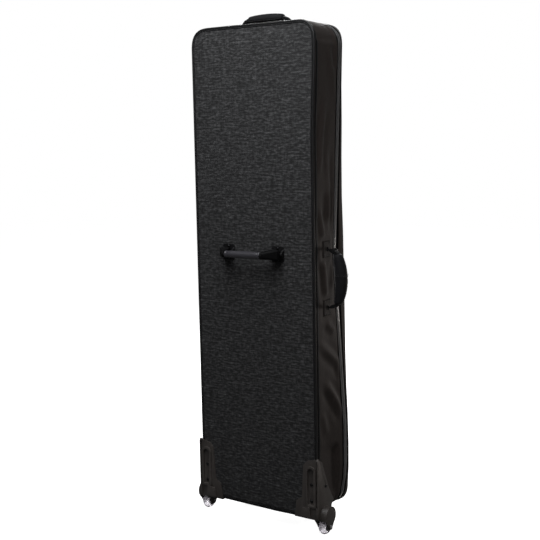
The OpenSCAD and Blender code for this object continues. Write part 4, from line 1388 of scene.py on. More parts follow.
    def crowned(
        self, way: int, level: float, fall: float, wave: float, *layers: tuple[float, float, float, float]
    ) -> Callable[[float, float, float], float]:
        """Gives the depths of a padded panel.

        Args:
            way: Which way along Y it bulges.
            level: Depth of its edge.
            fall: Width over which it falls to its edge.
            wave: Height of the waves in it.
            *layers: Layers of the waves.

        Returns:
            What gives its depth for X, Z and the distance to its edge.
        """
        def depth(x: float, z: float, edge: float) -> float:
            """Depth of the panel at a point."""
            lift = self.panel_crown * (1 - math.exp(-((edge / fall) ** 2)))
            return level + way * (lift + wave * ripple(x, z, *layers) * min(1.0, edge / self.flat_edge))

        return depth

    def walls(self) -> None:
        """Builds the main wall and the lid's wall."""
        form = self.form
        spots = form.stations(self.step)
        outer = [(y, 0.0) for y in spread(form.front_y + form.seam_in, form.hem_y - self.turned, 24)]
        inner = [(y, -self.thick) for y, _ in reversed(outer)]
        hem = mm_line(*self.hem_fold, start=form.hem_y)
        bm = sweep(spots, [*outer, *hem, *inner], self.wall_point)
        carry("main_wall", bm, WALL, Body.BASE, "main_gusset", fill=0.4)
        outer = [(y, 0.0) for y in spread(form.lid_hem_y + self.turned, form.rear_y - form.seam_in, 8)]
        inner = [(y, -self.thick) for y, _ in reversed(outer)]
        hem = mm_line(*((-a, b) for a, b in reversed(self.hem_fold)), start=form.lid_hem_y)
        bm = sweep(spots, [*outer, *inner, *hem], self.lid_point)
        carry("lid_wall", bm, WALL, Body.LID, "lid_gusset", fill=0.4)

    def bead_profile(self, y: float) -> list[Pair]:
        """Round profile of a piping bead at a depth."""
        turns = [2 * math.pi * k / 12 for k in range(12)]
        return [(y + self.bead * math.sin(a), -self.bead_in + self.bead * math.cos(a)) for a in turns]

    def bindings(self) -> None:
        """Builds the piping and binding tapes of the back panel and the lid."""
        form = self.form
        spots = form.stations(self.step)
        panel_tape = mm_line(*self.panel_tape, start=form.front_y - self.tape_over)
        wall_tape = mm_line(*self.wall_tape, start=form.front_y + self.tape_in)
        hem = mm_line(*self.hem, start=form.hem_y)
        lid_hem = mm_line(*((-a, b) for a, b in self.hem), start=form.lid_hem_y)
        panel_bead = self.bead_profile(form.front_y + self.thick)
        lid_bead = self.bead_profile(form.rear_y - self.thick)
        for name, finish, body, profile, place, nodes in (
            ("panel_bead", PIPING, Body.BASE, panel_bead, form.on_side, ("panel_piping",)),
            ("panel_binding", BINDING, Body.BASE, panel_tape, form.on_side, ()),
            ("wall_binding", BINDING, Body.BASE, wall_tape, self.wall_point, ()),
            # lid_bead wears piping lightened as a painted highlight along the lid's rim.
            ("lid_bead", RIM_PIPING_HIGHLIGHT, Body.LID, lid_bead, form.on_side, ("lid_piping",)),
            # wall_hem and lid_hem are near-black as a painted shadow gap beside the zip.
            ("wall_hem", HEM_SHADOW, Body.BASE, hem, self.wall_point, ()),
            ("lid_hem", HEM_SHADOW, Body.LID, lid_hem, self.lid_point, ()),
        ):
            carry(name, sweep(spots, profile, place), finish, body, *nodes)

    def linings(self) -> None:
        """Builds the linings of the base and the lid."""
        form = self.form
        low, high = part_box("base_lining")
        floor_y, top_y, lid_y = low.y + 1.5 * MM, high.y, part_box("lid_lining")[0].y
        foot = mm_line(*self.lining_foot, start=floor_y)
        bend_y, side_out = foot[-1]
        wall = [
            *foot,
            *((y, side_out) for y in spread(bend_y, top_y - 2 * MM, 8)[1:]),
            *mm_line(*self.lining_top, start=top_y),
            *mm_line(*self.lining_back, start=floor_y),
        ]
        bm = sweep(form.stations(self.lining_step), wall, form.on_side)
        foams = ["wall_foam_" + side.name.lower() for side in (Side.RIGHT, Side.LEFT, Side.TOP, Side.BOTTOM)]
        carry("base_lining_wall", bm, LINING, Body.BASE, "base_lining", *foams, fill=0.7)

        def floor(x: float, z: float, edge: float) -> float:
            """Depth of the base's lining."""
            return floor_y + 0.5 * MM * ripple(x, z, (1.0, 10, 7.1, 8))

        def ceiling(x: float, z: float, edge: float) -> float:
            """Depth of the lid's lining, which rolls over at its edge."""
            roll = math.exp(-((edge / (10 * MM)) ** 2))
            return lid_y - 0.6 * MM * ripple(x, z, (1.0, 9, 3.3, 7)) - 3.4 * MM * roll

        bm = thicken(self.face(form.front_y, self.lining_in[0], (30, 90), floor), AXIS_Y, self.lining_t)
        carry("base_lining_floor", bm, LINING, Body.BASE, fill=0.8)
        bm = thicken(self.face(lid_y, self.lining_in[1], (40, 120), ceiling), -AXIS_Y, self.lining_t)
        carry("lid_lining_cloth", bm, LINING, Body.LID, "lid_lining", fill=0.8)

    def seams(self) -> None:
        """Sews the bindings and the hems beside the zip."""
        form = self.form
        spots = form.stations(self.stitch_step) + [form.station(0.0)]

        def away(spot: Vector) -> Vector:
            """Direction out of the side that a point lies on.

            Args:
                spot: The point.

            Returns:
                The direction.
            """
            out = Vector((spot.x - form.middle_x, 0, spot.z - form.middle_z))
            if abs(out.x) > form.half_w - 8 * MM:
                return AXIS_X * math.copysign(1, out.x)
            return AXIS_Z * math.copysign(1, out.z)

        hem, tape = (form.hem_y, self.hem_row), (form.front_y, self.tape_row)
        for name, body, place, out, rows in (
            ("panel_stitches", Body.BASE, form.on_side, -AXIS_Y, [(form.front_y, self.panel_row)]),
            ("wall_stitches", Body.BASE, self.wall_point, away, [hem, tape]),
            ("lid_stitches", Body.LID, self.lid_point, away, [(form.lid_hem_y, self.lid_row)]),
        ):
            sewing = Stitching()
            for start, (y, over) in rows:
                sewing.row([place(spot, start + y, over) for spot in spots], out)
            carry(name, sewing.bm, THREAD, body)


@dataclass
class Zip:
    """The main zip: tapes, coil rows and the cloth hinge, whose wing and underside are in millimetres."""

    form: BagForm
    step: float = 8 * MM
    tape_out: float = -1.2 * MM
    tape_t: float = 1.4 * MM
    rib: float = 0.15 * MM
    slit: float = 0.5 * MM
    lap: float = 9 * MM
    coil_r: float = 1.0 * MM
    coil_pitch: float = 2.7 * MM
    wing: Line = ((-17, -1.5), (-17, -0.5), (-9, -0.3), (-5, 0.3))
    under: Line = ((4, -1.5), (-4, -1.5))
    cord_over: float = 1.06
    cord_turns: tuple[float, ...] = (-1.35, -0.8, -0.3, 0.3, 0.8, 1.35)
    bend_half: float = 5 * MM

    def build(self) -> None:
        """Builds and dresses the zip."""
        form = self.form
        spots = form.stations(self.step)
        for name, low, high, body in (
            ("base_zip_tape", form.hem_y - self.lap, form.zip_y - self.slit, Body.BASE),
            ("lid_zip_tape", form.zip_y + self.slit, form.lid_hem_y + self.lap, Body.LID),
        ):
            ys = spread(low, high, 6)
            outer = [(y, self.tape_out - self.rib * (k % 2)) for k, y in enumerate(ys)]
            inner = [(y, self.tape_out - self.tape_t) for y in reversed(ys)]
            carry(name + "_woven", sweep(spots, [*outer, *inner], form.on_side), ZIP_TAPE, body, name)
        self.coils()
        self.hinge()

    def coils(self) -> None:
        """Lays the two rows of coil, half a pitch apart, along the opening's three sides."""
        form = self.form
        tall, wide, arc = form.runs
        start = -wide - 2 * arc
        count = int((tall + 2 * arc + wide - start) / self.coil_pitch)
        squash = Matrix.Diagonal((1.05, 0.95, 1, 1))
        for name, shift, reach, body in (
            ("base_zip_teeth", 0.5, (-3.2, 0.5), Body.BASE),
            ("lid_zip_teeth", 1.0, (-0.5, 3.2), Body.LID),
        ):
            bm = bmesh.new()
            for k in range(count):
                spot = form.station(start + (k + shift) * self.coil_pitch + form.girth)
                a, b = (form.on_side(spot, form.zip_y + y * MM, self.tape_out + self.coil_r) for y in reach)
                turn = frame_of(b - a, Vector((spot.out_x, 0, spot.out_z))) @ squash
                rod(bm, (a + b) / 2, turn, (b - a).length, self.coil_r, 6)
            carry(name + "_coil", bm, COIL, body, name, sharp=50)

    def hinge(self) -> None:
        """Builds the cloth hinge that joins lid and base along the left side."""
        low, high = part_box("hinge_cord")
        middle = (low + high) / 2
        r = (high.y - low.y) / 2 * self.cord_over
        wing = mm_line(*self.wing)
        cord = [(r * math.sin(a), r * math.cos(a)) for a in self.cord_turns]
        other = [(-y, out) for y, out in reversed(wing)]
        profile = [*wing, *cord, *other, *mm_line(*self.under)]
        steps, count = 90, len(profile)
        heights = spread(low.z, high.z, steps)
        wall_x = self.form.middle_x - self.form.half_w

        def place(i: int, j: int) -> Vector:
            """Point of the hinge at a step up and a place round its profile."""
            y, out = profile[j % count]
            return Vector((wall_x - out, middle.y + y, heights[i]))

        bm = cloth_grid(steps, count, place, lambda i, j: (heights[i], j * 3 * MM))
        obj = piece("cloth_hinge", close_ends(bm), BINDING)
        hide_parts("hinge_cord")
        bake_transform(obj)
        LOG.info("cloth_hinge between %s and %s", Body.BASE.value, Body.LID.value)


@dataclass
class Arch:
    """Middle line of a webbing handle, over the bag's surface."""

    half: float
    crown: float
    shoulder: float
    grip_half: float
    flare: float = 0.0
    root: float = 4.8 * MM

    def height(self, u: float) -> float:
        """Height of the grip's middle at a share of its half length."""
        return self.shoulder + (self.crown - self.shoulder) * (1 - u * u)

    def arm(self) -> list[Pair]:
        """Places along and over the surface, from the sewn end into the grip.

        Returns:
            The places.
        """
        line = []
        for t in spread(0.0, 1.0, 12):
            along = self.half - (self.half - self.grip_half) * t ** 0.8 * 0.98 + self.flare * (1 - t) ** 2
            line.append((along, self.root + (self.shoulder - self.root) * (0.12 + 0.88 * t)))
        return line + [(self.grip_half * u, self.height(u)) for u in (0.9, 0.8)]


@dataclass
class WebHandle:
    """A padded webbing handle with its two sewn patches.

    The seam and its two rows of stitches lie at turns round the grip, the bands at shares of its half length.
    """

    name: str
    body: Body
    side: Side
    arch: Arch
    grip_t: float
    grip_w: float
    end_t: float
    bands: tuple[float, ...] = ()
    filling: float = 160.0
    slim: float = 1.6 * MM
    seam: float = 3.9
    seam_rows: Pair = (3.62, 4.18)
    web_w: float = 20 * MM
    web_t: float = 3 * MM
    root_w: float = 9 * MM
    rolled_r: float = 1.9 * MM
    rolled_l: float = 12 * MM
    web_ring: Line = (
        (-1, -1), (-1, 1), (-0.5, 1.15), (0, 1.2), (0.5, 1.15),
        (1, 1), (1, -1), (0.5, -1.15), (0, -1.2), (-0.5, -1.15),
    )
    patch: tuple[float, float, float] = (46 * MM, 40 * MM, 2.6 * MM)
    patch_seam: float = 4 * MM

    def __post_init__(self) -> None:
        """Finds the handle's middle on the bag and the direction out of it."""
        low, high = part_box(self.name + "_grip")
        self.middle = (low + high) / 2
        self.base = FORM.top_z if self.side is Side.TOP else FORM.middle_x + FORM.half_w
        self.out = self.at(0, 0, 1) - self.at(0, 0, 0)

    def at(self, along: float, width: float, height: float) -> Vector:
        """Point in the frame for a place along, across and over the surface.

        Args:
            along: Place along.
            width: Place across.
            height: Height over the surface.

        Returns:
            The point.
        """
        if self.side is Side.TOP:
            return Vector((self.middle.x + along, self.middle.y + width, self.base + height))
        return Vector((self.base + height, self.middle.y + width, self.middle.z - along))

    def local(self, spot: Vector) -> tuple[float, float, float]:
        """Place along, across and over the surface of a point in the frame.

        Args:
            spot: The point.

        Returns:
            The three places.
        """
        if self.side is Side.TOP:
            return spot.x - self.middle.x, spot.y - self.middle.y, spot.z - self.base
        return self.middle.z - spot.z, spot.y - self.middle.y, spot.x - self.base

    def skin(self, u: float, angle: float, size: float = 1.0, slim: float = 0.0) -> Vector:
        """Finds a point on the grip's skin.

        Args:
            u: Share of the grip's half length.
            angle: Turn round the grip.
            size: Size of the section there, as a share of the full one.
            slim: How far the skin lies in.

        Returns:
            The point.
        """
        bulge = math.sqrt(max(0.0, 1 - u * u))
        thick = self.end_t + (self.grip_t - self.end_t) * bulge
        wide = (self.grip_w + self.web_w) / 2 + (self.grip_w - self.web_w) / 2 * bulge
        c, s = math.cos(angle), math.sin(angle)
        flat = math.copysign(abs(s) ** 0.85, s)
        over = self.arch.height(u) + (thick / 2 * size - slim) * flat
        return self.at(u * self.arch.grip_half, (wide / 2 * size - slim) * c, over)

    def build(self, shell: Shell) -> None:
        """Builds and dresses the handle.

        Args:
            shell: The shell that it is sewn to.
        """
        self.grip()
        self.arms()
        self.patches(shell)

    def grip(self) -> None:
        """Builds the padded grip with its closing seam and gathered ends."""
        cols, rows = 40, 28
        arch = self.arch

        def place(i: int, j: int) -> Vector:
            """Point of the pad at a column and a row.

            Args:
                i: The column.
                j: The row.

            Returns:
                The point.
            """
            u, angle = 2 * i / cols - 1, 2 * math.pi * j / rows
            gather = min(1.0, (1 - abs(u)) / 0.05)
            tuck = 0.62 + 0.38 * math.sqrt(gather)
            pucker = 1 + 0.02 * math.sin(9 * angle) * (1 - gather)
            pucker += 0.012 * math.sin(u * 46 + 2 * math.cos(angle))
            aside = math.sin((angle - self.seam) / 2)
            size = tuck * pucker * (1 - 0.05 * math.exp(-((aside / 0.07) ** 2)))
            return self.skin(u, angle, size, self.slim * (1 - math.exp(-((aside / 0.2) ** 2))) * gather)

        def sewn(spot: Vector) -> bool:
            """Whether a point lies on the closing seam or a gathered end.

            Args:
                spot: The point.

            Returns:
                Whether it does.
            """
            along, width, height = self.local(spot)
            u = along / arch.grip_half
            angle = math.atan2((height - arch.height(u)) / self.grip_t, width / self.grip_w)
            return abs(u) > 0.94 or abs(math.sin((angle - self.seam) / 2)) < 0.13

        length, girth = 2 * arch.grip_half, self.grip_w * 2.4
        bm = cloth_grid(cols, rows, place, lambda i, j: (length * i / cols, girth * j / rows))
        obj = carry(self.name + "_pad", close_ends(bm), GRIP_PAD, self.body, self.name + "_grip")
        plump(obj, self.slim * 1.1, sewn, self.filling)
        sewing = Stitching(radius=0.4 * MM, length=2.6 * MM, pitch=3.8 * MM)
        for angle in self.seam_rows:
            sewing.row([self.skin(u, angle) for u in spread(-0.9, 0.9, 32)], -self.out)
        for u in self.bands:
            centre = self.at(u * arch.grip_half, 0, arch.height(u))
            ring = [self.skin(u, angle) for angle in spread(0.0, 2 * math.pi, 48)]
            sewing.row(ring, lambda spot, centre=centre: spot - centre)
        carry(self.name + "_stitches", sewing.bm, THREAD, self.body)

    def arms(self) -> None:
        """Builds the two webbing arms with their rolled ends."""
        line = self.arch.arm()
        last, count = len(line) - 1, len(self.web_ring)
        normals = []
        for k in range(last + 1):
            a, b = line[max(0, k - 1)], line[min(last, k + 1)]
            way = Vector((b[0] - a[0], b[1] - a[1])).normalized()
            normals.append((-way.y, way.x))
        whole = bmesh.new()
        for end in (-1, 1):

            def place(i: int, j: int) -> Vector:
                """Point of an arm at a step along it and a place round it.

                Args:
                    i: The step.
                    j: The place round the arm.

                Returns:
                    The point.
                """
                w, t = self.web_ring[j % count]
                wide = self.root_w + (self.web_w - self.root_w) * min(1.0, i / 7) ** 1.3
                fold = math.sin(math.pi * min(1.0, i / 11))
                half = self.web_t / 2 * (1 + 1.1 * min(1.0, i / 9) + (1.8 if t < 0 else 0.6) * fold)
                along = line[i][0] + normals[i][0] * t * half
                over = line[i][1] + normals[i][1] * t * half
                return self.at(end * along, w * wide / 2, over)

            bm = cloth_grid(last, count, place, lambda i, j: (i * 4 * MM, j * 4 * MM))
            join(whole, close_ends(bm))
            turn = frame_of(self.at(end, 0, 0) - self.at(0, 0, 0), self.out)
            root = self.at(end * self.arch.half, 0, self.arch.root)
            rod(whole, root, turn, self.rolled_l, self.rolled_r, 16)
        carry(self.name + "_arms", whole, WEBBING, self.body, self.name + "_webbing", sharp=50)

    def patches(self, shell: Shell) -> None:
        """Builds the sewn patches, laid on the wall, with their crossed box of stitches.

        Args:
            shell: The shell that they are sewn to.
        """
        long, wide, thick = self.patch
        cols, rows = 14, 12
        whole = bmesh.new()
        sewing = Stitching(length=2.4 * MM, pitch=3.4 * MM)

        def lay(along: float, width: float, over: float) -> Vector:
            """Point at a height over the wall.

            Args:
                along: Place along the handle.
                width: Place across.
                over: The height.

            Returns:
                The point.
            """
            spot = self.at(along, width, 0)
            place = spot.z - FORM.bottom_z if self.side is Side.RIGHT else spot.x - FORM.middle_x
            station = Station(0, spot.x, spot.z, self.out.x, self.out.z, self.side, place)
            return self.at(along, width, shell.wall_out(station, spot.y) + over)

        for end in (-1, 1):
            middle = end * self.arch.half

            def place(i: int, j: int) -> Vector:
                """Point of a patch at a column and a row.

                Args:
                    i: The column.
                    j: The row.

                Returns:
                    The point.
                """
                a, w = 2 * i / cols - 1, 2 * j / rows - 1
                rise = thick * min(1.0, 0.45 + 5 * min(1 - abs(a), 1 - abs(w)))
                pull = 1 - 0.03 * (1 - a * a) * abs(w) - 0.03 * (1 - w * w) * abs(a)
                return lay(middle + a * long / 2 * pull, w * wide / 2 * pull, rise)

            bm = cloth_grid(cols, rows, place, lambda i, j: (long * i / cols, wide * j / rows))
            join(whole, thicken(bm, self.out, thick * 0.9))
            x, y = long / 2 - self.patch_seam, wide / 2 - self.patch_seam
            box = [(-x, -y), (x, -y), (x, y), (-x, y), (-x, -y), (x, y)]
            for a, b in [*zip(box, box[1:]), ((x, -y), (-x, y))]:
                spots = zip(spread(middle + a[0], middle + b[0], 8), spread(a[1], b[1], 8))
                sewing.row([lay(along, width, thick + 0.1 * MM) for along, width in spots], self.out)
        name = self.name + "_patches"
        carry(name + "_cloth", whole, PATCH, Body.BASE, name)
        carry(name + "_stitches", sewing.bm, THREAD, Body.BASE)


@dataclass
class PanelGrip:
    """The turned grip of the panel handle, whose end is a profile in millimetres from its corner."""

    bore: float = 6 * MM
    end: Line = ((0, 2.2), (0.8, 0.8), (3, 0), (5, 0.1), (6, 1.1), (8, 1.1))
    end_l: float = 9 * MM
    waist: float = 0.7 * MM
    swell: float = 0.65 * MM

    def build(self) -> None:
        """Builds and dresses the grip."""
        low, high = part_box("panel_handle_grip")
        half, r = (high.x - low.x) / 2, (high.z - low.z) / 2
        first = [(-half, self.bore), *((a * MM - half, r - b * MM) for a, b in self.end)]
        count = 24
        body = [
            (x, r - self.waist + self.swell * math.sin(math.pi * k / count))
            for k, x in enumerate(spread(self.end_l - half, half - self.end_l, count))
        ]
        second = [(-x, out) for x, out in reversed(first)]
        bm = lathe([*first, *body, *second], (low + high) / 2, AXIS_X, 72)
        carry("panel_grip", bm, GRIP_RUBBER, Body.PANEL_HANDLE, "panel_handle_grip", sharp=45)


@dataclass
class Tyres:
    """The round-crowned tyres of the two wheels."""

    outer_r: float = 24.5 * MM
    half: float = 12.5 * MM
    crown_r: float = 13 * MM
    hub_r: float = 15.05 * MM

    def build(self) -> None:
        """Builds and dresses the tyres."""
        core = self.outer_r - self.crown_r
        reach = math.acos((self.hub_r - core) / self.crown_r)
        profile = []
        for a in spread(-reach, reach, 28):
            across = max(-self.half, min(self.half, self.crown_r * math.sin(a)))
            profile.append((across, core + self.crown_r * math.cos(a)))
        first, last = ((profile[k][0] * 0.9, self.hub_r) for k in (0, -1))
        for side, body in (("right", Body.WHEEL_RIGHT), ("left", Body.WHEEL_LEFT)):
            low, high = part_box("wheel_tyre_" + side)
            bm = lathe([first, *profile, last, first], (low + high) / 2, AXIS_X, 96)
            carry("tyre_" + side, bm, TYRE, body, "wheel_tyre_" + side, sharp=50)


@dataclass
class Pocket:
    """The flat zipped pocket on the lid."""

    corner: float = 40 * MM
    rim: float = 1.2 * MM
    wave: float = 1.1 * MM
    swell: float = 2.5 * MM
    filling: float = 4.0
    sewn_in: float = 12 * MM
    sewn_up: float = 1.5 * MM
    edge_fall: float = 7 * MM
    tape_flat: float = 6 * MM
    tape_fade: float = 20 * MM
    coil_r: float = 1.0 * MM
    coil_l: float = 3.6 * MM
    coil_aside: float = 1.3 * MM
    coil_pitch: float = 2.7 * MM

    def build(self) -> None:
        """Builds and dresses the pocket."""
        low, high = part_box("pocket_panel")
        middle, half = (low + high) / 2, (high - low) / 2
        tape_low, tape_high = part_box("pocket_zip_tape")
        cols, rows = 44, 96

        def place(i: int, j: int) -> Vector:
            """Point of the pocket's face at a column and a row.

            Args:
                i: The column.
                j: The row.

            Returns:
                The point.
            """
            across, up = 2 * i / cols - 1, 2 * j / rows - 1
            x, z = round_corners(across * half.x, up * half.z, half.x, half.z, self.corner)
            edge = min((1 - abs(across)) * half.x, (1 - abs(up)) * half.z)
            rise = 1 - math.exp(-((edge / self.edge_fall) ** 1.6))
            away = max(tape_low.x - middle.x - x, x - tape_high.x + middle.x) - self.tape_flat
            wave = ripple(x, z, (1.0, 9, 9.1, 7), (0.5, 24, 5.7, 19))
            wave *= max(0.0, min(1.0, away / self.tape_fade))
            y = low.y + self.rim + (high.y - low.y - self.rim) * rise + self.wave * wave * rise
            return Vector((middle.x + x, y, middle.z + z))

        def sewn(spot: Vector) -> bool:
            """Whether a point is held at the pocket's edge or beside its zip.

            Args:
                spot: The point.

            Returns:
                Whether it is.
            """
            edge = min(half.x - abs(spot.x - middle.x), half.z - abs(spot.z - middle.z))
            beside_tape = tape_low.x - self.sewn_in < spot.x < tape_high.x + self.sewn_in
            return edge < self.sewn_in or spot.y < low.y + self.sewn_up or beside_tape

        bm = cloth_grid(cols, rows, place, lambda i, j: (2 * half.x * i / cols, 2 * half.z * j / rows))
        bmesh.ops.recalc_face_normals(bm, faces=bm.faces[:])
        face_towards(bm, AXIS_Y)
        made = bmesh.ops.extrude_edge_only(bm, edges=[e for e in bm.edges if e.is_boundary])
        for vert in (g for g in made["geom"] if isinstance(g, bmesh.types.BMVert)):
            vert.co.y = low.y
        obj = carry("pocket_cloth", close_ends(bm), COVER, Body.LID, "pocket_panel")
        plump(obj, self.swell, sewn, self.filling)
        self.coil()

    def coil(self) -> None:
        """Lays the coil of the pocket's zip."""
        low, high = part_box("pocket_zip_teeth")
        x, y = (low.x + high.x) / 2, low.y + self.coil_r
        turn = frame_of(AXIS_X, AXIS_Y)
        bm = bmesh.new()
        for k in range(int((high.z - low.z) / self.coil_pitch)):
            for shift, way in ((0.25, -1), (0.75, 1)):
                spot = Vector((x + way * self.coil_aside, y, low.z + (k + shift) * self.coil_pitch))
                rod(bm, spot, turn, self.coil_l, self.coil_r, 6)
        carry("pocket_coil", bm, COIL, Body.LID, "pocket_zip_teeth", sharp=50)


@dataclass
class Ties:
    """The webbing of the two tie straps inside the base."""

    thick: float = 1.4 * MM
    lift: float = 0.4 * MM

    def build(self) -> None:
        """Builds and dresses the straps."""
        cols, rows = 60, 6
        for node in ("tie_strap_upper", "tie_strap_lower"):
            low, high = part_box(node)
            long, wide = high.x - low.x, high.z - low.z

            def place(i: int, j: int) -> Vector:
                """Point of a strap at a column and a row.

                Args:
                    i: The column.
                    j: The row.

                Returns:
                    The point.
                """
                t = i / cols
                y = low.y + self.lift + (high.y - low.y - self.lift) * math.sin(math.pi * t) ** 0.5
                y += 0.5 * MM * noise.noise(Vector((t * 9, j * 0.2, low.z)))
                z = low.z + wide * j / rows + 0.8 * MM * noise.noise(Vector((t * 5, 3.1, low.z)))
                return Vector((low.x + long * t, y, z))

            bm = cloth_grid(cols, rows, place, lambda i, j: (long * i / cols, wide * j / rows))
            carry(node + "_web", thicken(bm, AXIS_Y, self.thick), WEBBING, Body.BASE, node, sharp=50)


# Hard parts


@dataclass
class Screws:
    """Round-headed screws with a cross recess, in place of a CAD node of plain ones.

    The rings of a head are radii and heights, as shares of its diameter and its height. So are the reach and
    half width of the cross, and the recess is its depth and how far it narrows.
    """

    node: str
    head_d: float
    head_t: float
    shank_r: float = 2 * MM
    rings: Line = ((0.5, -1.0), (0.5, -0.45), (0.42, -0.12), (0.31, 0.0))
    cross: Pair = (0.22, 0.055)
    recess: Pair = (0.6, 0.7)

    def build(self) -> None:
        """Builds and dresses the screws, each with its head at the wide end of the plain one."""
        bm = bmesh.new()
        for island in self.islands():
            low, high = (Vector(map(end, zip(*island))) for end in (min, max))
            size, middle = high - low, (low + high) / 2
            axis = min(range(3), key=lambda k: abs(size[(k + 1) % 3] - size[(k + 2) % 3]))
            k, m = (axis + 1) % 3, (axis + 2) % 3
            rim = [p for p in island if math.hypot(p[k] - middle[k], p[m] - middle[m]) > size[k] * 0.45]
            at_low, at_high = (sum(abs(p[axis] - end[axis]) < 0.02 * MM for p in rim) for end in (low, high))
            way = Vector((0, 0, 0))
            way[axis] = 1 if at_high >= at_low else -1
            middle[axis] = high[axis] if way[axis] > 0 else low[axis]
            self.screw(bm, middle, way, size[axis])
        carry(self.node + "_turned", bm, BLACK_STEEL, Body.BASE, self.node, sharp=40)

    def islands(self) -> list[list[Vector]]:
        """Points of each plain screw in the CAD node.

        Returns:
            The points, screw by screw.
        """
        bm = cad_copy(self.node)
        found, seen = [], set()
        for start in bm.verts:
            if start in seen:
                continue
            todo, island = [start], []
            seen.add(start)
            while todo:
                vert = todo.pop()
                island.append(vert.co.copy())
                near = {e.other_vert(vert) for e in vert.link_edges} - seen
                seen |= near
                todo += near
            found.append(island)
        bm.free()
        return found

    def screw(self, bm: Mesh, top: Vector, way: Vector, length: float) -> None:
        """Adds one screw.

        Args:
            bm: Mesh that takes the screw.
            top: Middle of the head's face.
            way: Direction that the head faces.
            length: Length of the whole screw.
        """
        turn = AXIS_Z.rotation_difference(way).to_matrix().to_4x4()
        place = Matrix.Translation(top) @ turn
        loops = []
        for r, z in self.rings:
            level = place @ Matrix.Translation((0, 0, z * self.head_t))
            made = bmesh.ops.create_circle(bm, segments=24, radius=r * self.head_d, matrix=level)
            loops.append(made["verts"])
        arm, width = (share * self.head_d for share in self.cross)
        cross = [(arm, width), (width, width), (width, arm)]
        for _ in range(3):
            cross += [(-y, x) for x, y in cross[-3:]]
        deep, narrow = self.recess
        for z, scale in ((0.0, 1.0), (-deep * self.head_t, narrow)):
            verts = [bm.verts.new(place @ Vector((x * scale, y * scale, z))) for x, y in cross]
            for pair in zip(verts, [*verts[1:], verts[0]]):
                bm.edges.new(pair)
            loops.append(verts)
        for pair in zip(loops, loops[1:]):
            rims = [set(loop) for loop in pair]
            free = [e for e in bm.edges if len(e.link_faces) < 2]
            bmesh.ops.bridge_loops(bm, edges=[e for e in free if any(set(e.verts) <= rim for rim in rims)])
        bm.faces.new(loops[-1])
        depth = max(0.5 * MM, length - self.head_t)
        rod(bm, place @ Vector((0, 0, -self.head_t - depth / 2)), turn, depth, self.shank_r, 16)
        bm.faces.new(loops[0][::-1])
        bmesh.ops.recalc_face_normals(bm, faces=bm.faces[:])


class Casting(NamedTuple):
    """A hard part that keeps its CAD shape, with edges rounded by a width in millimetres."""

    node: str
    name: str
    finish: Finish
    body: Body
    width: float
    steps: int = 2
    angle: float = 38.0
    sharp: float = 40.0

    def build(self) -> None:
        """Builds and dresses the part."""
        bm = rounded_copy(self.node, self.width * MM, self.steps, self.angle)
        carry(self.name, bm, self.finish, self.body, self.node, sharp=self.sharp)


@dataclass
class Fittings:
    """The hard parts: sliders, pulls, brackets, wheels, guards, feet and buckles, with their screws."""

    screws: tuple[Screws, ...] = (
        Screws("bracket_screws", 7 * MM, 2 * MM),
        Screws("guard_screws", 9 * MM, 2.4 * MM),
        Screws("foot_screws", 9 * MM, 2.4 * MM),
    )
    castings: tuple[Casting, ...] = (
        Casting("panel_handle_strap", "panel_arms", ARM_RUBBER, Body.PANEL_HANDLE, 2.0, 3, 32, 50),
        Casting("panel_handle_pins", "panel_pins", BLACK_STEEL, Body.BASE, 0.4),
        Casting("pocket_zip_tape", "pocket_tape", POCKET_TAPE, Body.LID, 0.4),
        Casting("tie_buckles", "tie_buckles_moulded", FITTING, Body.BASE, 1.2, 3),
    )

    def build(self) -> None:
        """Builds and dresses the hard parts."""
        for part in (*self.castings, *self.paired(), *self.zip_metal(), *self.screws):
            part.build()

    @staticmethod
    def paired() -> list[Casting]:
        """The parts that stand on both sides.

        Returns:
            The parts.
        """
        return [
            Casting(stem + side, stem + side + made, finish, body, *size)
            for side, wheel in (("right", Body.WHEEL_RIGHT), ("left", Body.WHEEL_LEFT))
            for stem, made, finish, body, *size in (
                ("wheel_hub_", "_cast", HUB, wheel, 0.6),
                ("wheel_bearings_", "_ground", STEEL, wheel, 0.4),
                ("wheel_axle_", "_turned", STEEL, Body.BASE, 0.7),
                ("wheel_guard_", "_moulded", GUARD, Body.BASE, 1.1, 2, 32, 42),
                ("panel_bracket_", "_cast", BRACKET, Body.BASE, 0.9),
                ("stand_foot_", "_moulded", FITTING, Body.BASE, 1.6, 3),
                ("foot_pad_", "_moulded", SOLE, Body.BASE, 1.2, 3),
            )
        ]

    @staticmethod
    def zip_metal() -> list[Casting]:
        """The sliders and pulls of both zips, each alone on its body.

        Returns:
            The parts.
        """
        sliders = (Body.SLIDER_UPPER, Body.SLIDER_LOWER, Body.POCKET_SLIDER)
        pulls = (Body.PULL_UPPER, Body.PULL_LOWER, Body.POCKET_PULL)
        return [
            Casting(body.value, body.value + "_cast", finish, body, 0.5)
            for finish, bodies in ((SLIDER, sliders), (PULL, pulls))
            for body in bodies
        ]


# Studio


class Lamp(NamedTuple):
    """A round soft light."""

    name: str
    place: tuple[float, float, float]
    aim: tuple[float, float, float]
    size: float
    power: float
    tint: Colour = (1.0, 1.0, 1.0)


